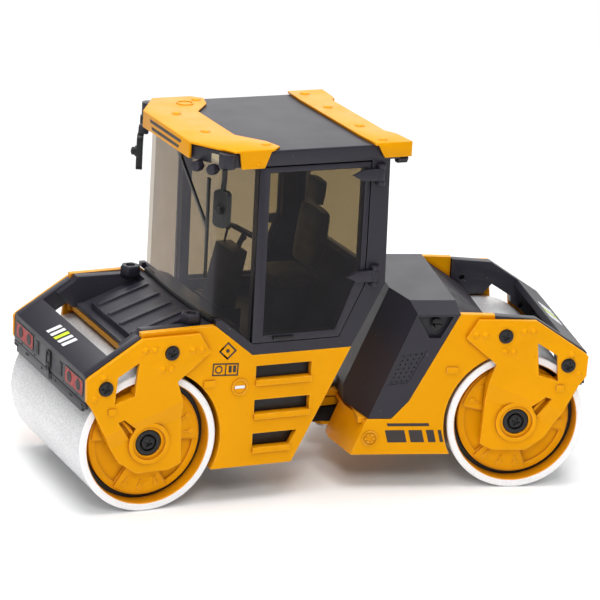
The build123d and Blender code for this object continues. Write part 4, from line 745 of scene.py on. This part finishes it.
def add_bar_fittings(direction, name, body):
    """Vent bars, bolts, towing eye and handle on an end bar, and on the front one the lamp frames."""
    place = surface((direction * BAR_TOP_OUTER[0], 0, 0), Y_AXIS, Z_AXIS, direction * X_AXIS)
    fittings = Batch()
    for centre in VENT_CENTRES_Y:
        for step in (-1, 0, 1):
            left = centre + step * VENT_BAR_PITCH - VENT_BAR_HALF_WIDTH
            bar = slanted(left, left + 2 * VENT_BAR_HALF_WIDTH, *VENT_BAR_HEIGHTS)
            fittings.prism(bar, place, *VENT_BAR_LIFT)
    for y in LOW_BOLTS_Y:
        fittings.dome((y, LOW_BOLTS_Z), *LOW_BOLT_SIZE, place)
    for y in HIGH_BOLTS_Y:
        fittings.dome((y, HIGH_BOLTS_Z), *HIGH_BOLT_SIZE, place)
    fittings.prism(EYE_PLATE, place, *EYE_PLATE_LIFT)
    fittings.ring(EYE_CENTRE, *EYE_RING, place)
    fittings.tube([(y, z, HANDLE_RADIUS) for y, z in HANDLE], HANDLE_RADIUS, place, segments=8)
    if direction > 0:
        add_lamp_frames(fittings, place)
    fittings.save(f"{name}_bar_fittings", "black", body, "black_plastic", turned=direction < 0)


# ---- roof trims, hub pipes and painted gap shade ----
TRIM_TOP_Z = CAD_HIGH.z / MM
VISOR_RIVETS = ((31.1, -9.8), (30.8, 6.9), (21.6, 20.4), (21.6, -21.0))
STRIP_RIVETS = ((-6.8, -21.6), (-6.8, -8.5), (-6.8, 9.3), (-6.8, 21.8))
RIVET_SIZE = (0.95, 0.3)
RIVET_COLLAR = (1.35, 1.1, 0.08)
VISOR_RING_CENTRE = (25.4, -18.4)
VISOR_RING = (2.1, 1.7, 0.2)
VISOR_SIDE_Y = 24.7
SIDE_RIVET_CENTRE = (25.2, 80.7)
SIDE_RIVET_SIZE = (0.5, 0.22)

PIPE_RADIUS = 0.45
PIPE_PATH = ((3.3, 2.0, 23.35), (4.1, 2.9, 23.5), (5.2, 4.3, 23.55), (6.3, 5.5, 23.55), (6.7, 6.0, 23.4))

GAP_SECTION = [(13.45, 18.15), (13.45, 19.3), (13.7, 19.5), (14.66, 19.5), (14.66, 18.15)]
GAP_SEGMENTS = 72


def add_roof_details():
    """Rivets and a moulded ring on the yellow roof trims."""
    top = surface((0, 0, TRIM_TOP_Z), X_AXIS, Y_AXIS, Z_AXIS)
    trims = Batch()
    for centre in VISOR_RIVETS + STRIP_RIVETS:
        trims.dome(centre, *RIVET_SIZE, top)
        trims.ring(centre, *RIVET_COLLAR, top)
    trims.ring(VISOR_RING_CENTRE, *VISOR_RING, top)
    for sign in (1, -1):
        trims.dome(SIDE_RIVET_CENTRE, *SIDE_RIVET_SIZE, side_surface(sign, VISOR_SIDE_Y))
    trims.save("roof_trim_rivets", "yellow", "front_half", "yellow_paint")


def add_hub_pipes(direction, name, body):
    """Short moulded pipe in the pocket beside each hub; its path is given from the drum's axle."""
    pipes = Batch()
    axle = FRONT_AXLE / MM
    for sign in (1, -1):
        path = [(direction * (axle.x + ahead), sign * y, axle.z + up) for ahead, up, y in PIPE_PATH]
        pipes.tube(path, PIPE_RADIUS)
    pipes.save(f"{name}_hub_pipes", "yellow", body, "yellow_paint", turned=direction < 0)


def add_gap_shade_ring(drum, centre, axis):
    """Black ring at the bottom of the gap round each drum disc: painted shade in the deep gap."""
    gap = Batch()
    for sign in (1, -1):
        place = surface(centre / MM, axis.cross(Z_AXIS), Z_AXIS, sign * axis)
        gap.spin((0, 0), GAP_SECTION, place, GAP_SEGMENTS)
    # the black ring stands for shade in the gap
    gap.save(f"{drum}_gap_shade_ring", "black", drum, "black_plastic")


# ---- mirrors ----
MIRROR_CENTRE = (33.6, 25.05)
MIRROR_TURN = radians(25)               # how far a mirror's back faces outward from straight ahead
MIRROR_HALF_SIZE = (1.75, 3.9)
MIRROR_OUTLINE = ((1, 0.8), (0.7, 1), (-0.7, 1), (-1, 0.8), (-1, -0.8), (-0.7, -1), (0.7, -1), (1, -0.8))
MIRROR_LIFT = (0.7, 0.8)
BOSS_RING = (1.35, 0.9, 1.2)
BOSS_ROOT = 0.7
BOSS_CAP_SIZE = (0.7, 0.25)
BOSS_TOP = 1.93
FOOT_RADIUS = 0.62
FOOT_TOP = (33.3, 24.9, 80.0)
FOOT_BEND_RISE = 2.3                    # heights above the mirror
FOOT_ELBOW = (33.5, 25.0)
FOOT_ELBOW_RISE = 1.1
FOOT_END_SHIFT = (0.1, 0.05, -0.3)


def add_mirror_details():
    """Cap on each mirror's adjuster boss, the bright glass on its face and the bent foot of its arm."""
    low, high = box_mm("mirror_housings")
    half_height = (high.z - low.z) / 2
    caps = Batch()
    glasses = Batch()
    for sign in (1, -1):
        facing = Vector((cos(MIRROR_TURN), sign * sin(MIRROR_TURN), 0))
        across = sign * Z_AXIS.cross(facing)
        centre = Vector((MIRROR_CENTRE[0], sign * MIRROR_CENTRE[1], (low.z + high.z) / 2))
        back = surface(centre, across, Z_AXIS, facing)
        caps.ring((0, 0), *BOSS_RING, back, BOSS_ROOT)
        caps.dome((0, 0), *BOSS_CAP_SIZE, back @ Matrix.Translation((0, 0, BOSS_TOP)))
        front = surface(centre, across, Z_AXIS, -facing)
        outline = [(u * MIRROR_HALF_SIZE[0], v * MIRROR_HALF_SIZE[1]) for u, v in MIRROR_OUTLINE]
        glasses.prism(outline, front, *MIRROR_LIFT)
        end = centre + Vector((FOOT_END_SHIFT[0], sign * FOOT_END_SHIFT[1], half_height + FOOT_END_SHIFT[2]))
        caps.tube([(FOOT_TOP[0], sign * FOOT_TOP[1], FOOT_TOP[2]),
                   (FOOT_TOP[0], sign * FOOT_TOP[1], high.z + FOOT_BEND_RISE),
                   (FOOT_ELBOW[0], sign * FOOT_ELBOW[1], high.z + FOOT_ELBOW_RISE), end], FOOT_RADIUS)
    caps.save("mirror_caps", "black", "front_half", "black_plastic")
    glasses.save("mirror_glasses", "mirror", "front_half", "steel", rounding=0.05)


# ---- windscreen gasket ----
GASKET_CORNER_Y = 20.4
GASKET_BOW = 0.95
GASKET_SECTION = ((-1.3, 41.7), (0.45, 41.7), (0.5, 43.5), (0.25, 43.9), (-1.3, 43.9))    # (x, z)
GASKET_HALF_STEPS = 12


def add_windscreen_gasket():
    """Rubber strip at the foot of the bowed windscreen. Its section's x is measured from the screen."""
    front_x = box_mm("windscreen")[1].x
    sections = []
    for step in range(-GASKET_HALF_STEPS, GASKET_HALF_STEPS + 1):
        share = step / GASKET_HALF_STEPS
        face_x = front_x - GASKET_BOW * share ** 2
        sections.append([(face_x + ahead, GASKET_CORNER_Y * share, z) for ahead, z in GASKET_SECTION])
    strip = Batch()
    strip.loops(sections, Matrix.Identity(4))
    strip.save("windscreen_gasket", "black", "front_half", "black_plastic", rounding=0.12)


# ---- seat and controls ----
PILLOW_STEPS = 14
SIDE_PULL = 0.05
CORNER_PULL = 0.10
EDGE_THICKNESS = 0.72                   # share of a pillow's thickness left at its edges
SEAM_DEPTH = 0.22
SEAM_WIDTH = 0.07
PAD_THICKNESS = 3.0
SEAT_WIDTH_SHARE = 0.98
CUSHION_LENGTH_SHARE = 0.78
CUSHION_SETBACK_SHARE = 0.40
CUSHION_RISE = 1.7
CUSHION_CROWN = 0.35
CUSHION_SEAMS = (-0.3, 0.3)             # places across half the pad's length
BACK_LEAN = radians(83)
BACK_LENGTH = 15.0
BACK_WIDTH_SHARE = 0.96
BACK_CROWN = 0.3
BACK_SEAMS = (-0.45, 0.0, 0.45)
BACK_FOOT = (3.0, 10.8)                 # (x, z) from the seat's back and bottom
REST_LENGTH = 6.2
REST_WIDTH_SHARE = 0.55
REST_THICKNESS = 2.4
REST_CROWN = 0.25
REST_PLACE = (2.5, 3.3)                 # (x, z) from the seat's back and top

LEVER_SPACING = 4.2
LEVER_FOOT = (2.0, 0.4)                 # (x from the console's back, depth below its top)
LEVER_BEND = (-0.3, 1.6)                # (x, z) from the foot
LEVER_TOP = (-0.9, 3.2)
LEVER_SPLAY = 0.1
LEVER_RADIUS = 0.28
KNOB_SINK = 0.2
KNOB_LEAN = (-0.2, 0, 1)
KNOB_PROFILE = [(0.3, 0), (0.62, 0.25), (0.72, 0.65), (0.55, 1.05), (0.2, 1.2)]


def pillow(batch, place, size, crown, seams=()):
    """Closed padded form: crowned faces, sides pulled in between the corners, sewn channels on top."""
    half = Vector(size) / 2

    def shape(i, j, level):
        x, y = 2 * i / PILLOW_STEPS - 1, 2 * j / PILLOW_STEPS - 1
        pull = (1 - SIDE_PULL * (1 - level ** 2) * (1 - (x * y) ** 2)) * (1 - CORNER_PULL * (x * y) ** 2)
        puff = (1 - x ** 4) * (1 - y ** 4)
        rise = level * (EDGE_THICKNESS + (1 - EDGE_THICKNESS) * puff) * half.z
        if level == 1:
            rise += crown * puff - sum(SEAM_DEPTH * exp(-((x - at) / SEAM_WIDTH) ** 2) for at in seams)
        return batch.mesh.verts.new(place @ Vector((x * half.x * pull, y * half.y * pull, rise)))

    steps, posts = range(PILLOW_STEPS), range(PILLOW_STEPS + 1)
    grid = {(i, j, level): shape(i, j, level) for i in posts for j in posts for level in (1, -1)}
    edge = [(i, 0) for i in steps] + [(PILLOW_STEPS, j) for j in steps]
    edge += [(PILLOW_STEPS - i, PILLOW_STEPS) for i in steps] + [(0, PILLOW_STEPS - j) for j in steps]
    grid.update({(i, j, level): shape(i, j, level) for i, j in edge for level in (0.5, 0.0, -0.5)})
    for i in steps:
        for j in steps:
            for level in (1, -1):
                batch.mesh.faces.new([grid[i, j, level], grid[i + 1, j, level], grid[i + 1, j + 1, level],
                                      grid[i, j + 1, level]])
    for here, after in zip(edge, edge[1:] + edge[:1]):
        for upper, lower in ((1, 0.5), (0.5, 0.0), (0.0, -0.5), (-0.5, -1)):
            batch.mesh.faces.new([grid[(*here, upper)], grid[(*after, upper)], grid[(*after, lower)],
                                  grid[(*here, lower)]])


def add_seat():
    """Cushion, backrest and headrest, drawn in place of the plain CAD seat."""
    low, high = box_mm("seat")
    depth = high.x - low.x
    width = (high.y - low.y) * SEAT_WIDTH_SHARE
    middle_y = (low.y + high.y) / 2
    upright = Matrix.Rotation(BACK_LEAN, 4, "Y")
    base = Matrix.Translation((high.x - depth * CUSHION_SETBACK_SHARE, middle_y, low.z + CUSHION_RISE))
    back = Matrix.Translation((low.x + BACK_FOOT[0], middle_y, low.z + BACK_FOOT[1])) @ upright
    rest = Matrix.Translation((low.x + REST_PLACE[0], middle_y, high.z - REST_PLACE[1])) @ upright
    seat = Batch()
    pillow(seat, base, (depth * CUSHION_LENGTH_SHARE, width, PAD_THICKNESS), CUSHION_CROWN, CUSHION_SEAMS)
    pillow(seat, back, (BACK_LENGTH, width * BACK_WIDTH_SHARE, PAD_THICKNESS), BACK_CROWN, BACK_SEAMS)
    pillow(seat, rest, (REST_LENGTH, width * REST_WIDTH_SHARE, REST_THICKNESS), REST_CROWN)
    piece = seat.save("seat_cushions", "vinyl", "front_half", "seat_vinyl")
    soft = piece.modifiers.new("soft", "SUBSURF")
    soft.levels = soft.render_levels = 1
    piece.modifiers.move(1, 0)
    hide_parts("seat")


def add_controls():
    """Two levers with knobs beside the steering wheel."""
    low, high = box_mm("steering_console")
    levers = Batch()
    for shift in (-LEVER_SPACING, LEVER_SPACING):
        foot = Vector((low.x + LEVER_FOOT[0], (low.y + high.y) / 2 + shift, high.z - LEVER_FOOT[1]))
        bend = foot + Vector((LEVER_BEND[0], 0, LEVER_BEND[1]))
        top = foot + Vector((LEVER_TOP[0], shift * LEVER_SPLAY, LEVER_TOP[1]))
        levers.tube([foot, bend, top], LEVER_RADIUS)
        knob = surface(top - KNOB_SINK * Z_AXIS, X_AXIS, Y_AXIS, KNOB_LEAN)
        levers.lathe((0, 0), KNOB_PROFILE, knob, segments=16)
    levers.save("control_levers", "black", "front_half", "black_plastic")


add_bar_marks(1, "front", "front_half")
add_bar_marks(-1, "rear", "rear_half")
add_front_side_marks()
add_rear_side_marks()
add_visor_marks()
add_bar_fittings(1, "front", "front_half")
add_bar_fittings(-1, "rear", "rear_half")
add_roof_details()
add_hub_pipes(1, "front", "front_half")
add_hub_pipes(-1, "rear", "rear_half")
add_gap_shade_ring("front_drum", FRONT_AXLE, FRONT_AXIS)
add_gap_shade_ring("rear_drum", REAR_AXLE, REAR_AXIS)
add_mirror_details()
add_windscreen_gasket()
add_seat()
add_controls()


# ---- stage ----
WORLD_LIGHT = 0.27
WORLD_BACKDROP = 1.0
WHITE = (1.0, 1.0, 1.0)
FLOOR_HALF_SIZE = 6.0                   # metres
FLOOR_GAP = 0.00005
FLOOR_TONE = (0.90, 0.93)
FLOOR_FADE = (180.0, 520.0)             # millimetres over which the floor melts into the backdrop
# name: place, size in metres, power in watts
LIGHTS = {
    "top_softbox": ((0.05, 0.05, 0.80), (0.6, 0.5), 6.6),
    "front_softbox": ((0.85, 0.30, 0.30), (0.5, 0.5), 0.9),
    "side_softbox": ((0.30, 0.75, 0.75), (0.35, 0.35), 3.9),
    "back_softbox": ((-0.55, -1.15, 0.50), (1.5, 0.8), 6.0),
}
CAMERA_AZIMUTH = radians(154.75)
CAMERA_ELEVATION = radians(17.46)
CAMERA_ROLL = radians(3.5)
CAMERA_DISTANCE = 0.7485
CAMERA_AIM = Vector((0.0000, -0.0027, 0.0386))
CAMERA_LENS = 189.0
CAMERA_SENSOR = 36.0
CAMERA_NEAR = 0.01


def make_floor():
    """Pale floor under the machine that turns into plain backdrop further out."""
    shader = Shader("pale_floor")
    tone = shader.vary(120.0, 2.0, *FLOOR_TONE)
    pale = shader.add("CombineColor", Red=tone, Green=tone, Blue=tone).outputs["Color"]
    near = shader.add("BsdfPrincipled", Base_Color=pale, Roughness=0.6).outputs["BSDF"]
    far = shader.add("Emission", Color=WHITE, Strength=WORLD_BACKDROP).outputs["Emission"]
    fade = shader.remap(shader.vector("LENGTH", shader.coords), *FLOOR_FADE, 0.0, 1.0)
    fade = shader.math("MULTIPLY", fade, shader.add("LightPath").outputs["Is Camera Ray"])

    corners = [(x * FLOOR_HALF_SIZE, y * FLOOR_HALF_SIZE, 0) for x, y in ((-1, -1), (1, -1), (1, 1), (-1, 1))]
    mesh = bpy.data.meshes.new("floor")
    mesh.from_pydata(corners, [], [(0, 1, 2, 3)])
    mesh.materials.append(shader.surface(shader.blend(fade, near, far)))
    floor = bpy.data.objects.new("floor", mesh)
    floor.location.z = CAD_LOW.z - FLOOR_GAP
    bpy.context.scene.collection.objects.link(floor)


def make_world():
    """White backdrop for the camera, softer white light on the machine."""
    world = bpy.data.worlds.new("studio")
    bpy.context.scene.world = world
    world.use_nodes = True
    nodes, links = world.node_tree.nodes, world.node_tree.links
    background = nodes["Background"]
    background.inputs["Color"].default_value = (*WHITE, 1.0)
    seen = nodes.new("ShaderNodeLightPath")
    strength = nodes.new("ShaderNodeMapRange")
    strength.inputs["To Min"].default_value = WORLD_LIGHT
    strength.inputs["To Max"].default_value = WORLD_BACKDROP
    links.new(seen.outputs["Is Camera Ray"], strength.inputs["Value"])
    links.new(strength.outputs["Result"], background.inputs["Strength"])


def make_lights():
    """Softboxes, all turned to the middle of the machine."""
    middle = (CAD_LOW + CAD_HIGH) / 2
    for name, (place, size, power) in LIGHTS.items():
        lamp = bpy.data.lights.new(name, "AREA")
        lamp.shape = "RECTANGLE"
        lamp.size, lamp.size_y = size
        lamp.energy = power
        piece = bpy.data.objects.new(name, lamp)
        piece.location = place
        piece.rotation_mode = "QUATERNION"
        piece.rotation_quaternion = (middle - Vector(place)).to_track_quat("-Z", "Y")
        bpy.context.scene.collection.objects.link(piece)


def make_camera():
    """The photograph's viewpoint, turned round its line of sight by the roll."""
    flat = cos(CAMERA_ELEVATION)
    back = Vector((sin(CAMERA_AZIMUTH) * flat, -cos(CAMERA_AZIMUTH) * flat, sin(CAMERA_ELEVATION)))
    level = Z_AXIS.cross(back).normalized()
    right = cos(CAMERA_ROLL) * level + sin(CAMERA_ROLL) * back.cross(level)
    data = bpy.data.cameras.new("camera")
    data.sensor_width = CAMERA_SENSOR
    data.lens = CAMERA_LENS
    data.clip_start = CAMERA_NEAR
    camera = bpy.data.objects.new("camera", data)
    bpy.context.scene.collection.objects.link(camera)
    camera.matrix_world = surface(CAMERA_AIM + back * CAMERA_DISTANCE, right, back.cross(right), back)
    bpy.context.scene.camera = camera


make_floor()
make_world()
make_lights()
make_camera()
bpy.context.scene.view_settings.view_transform = "Standard"
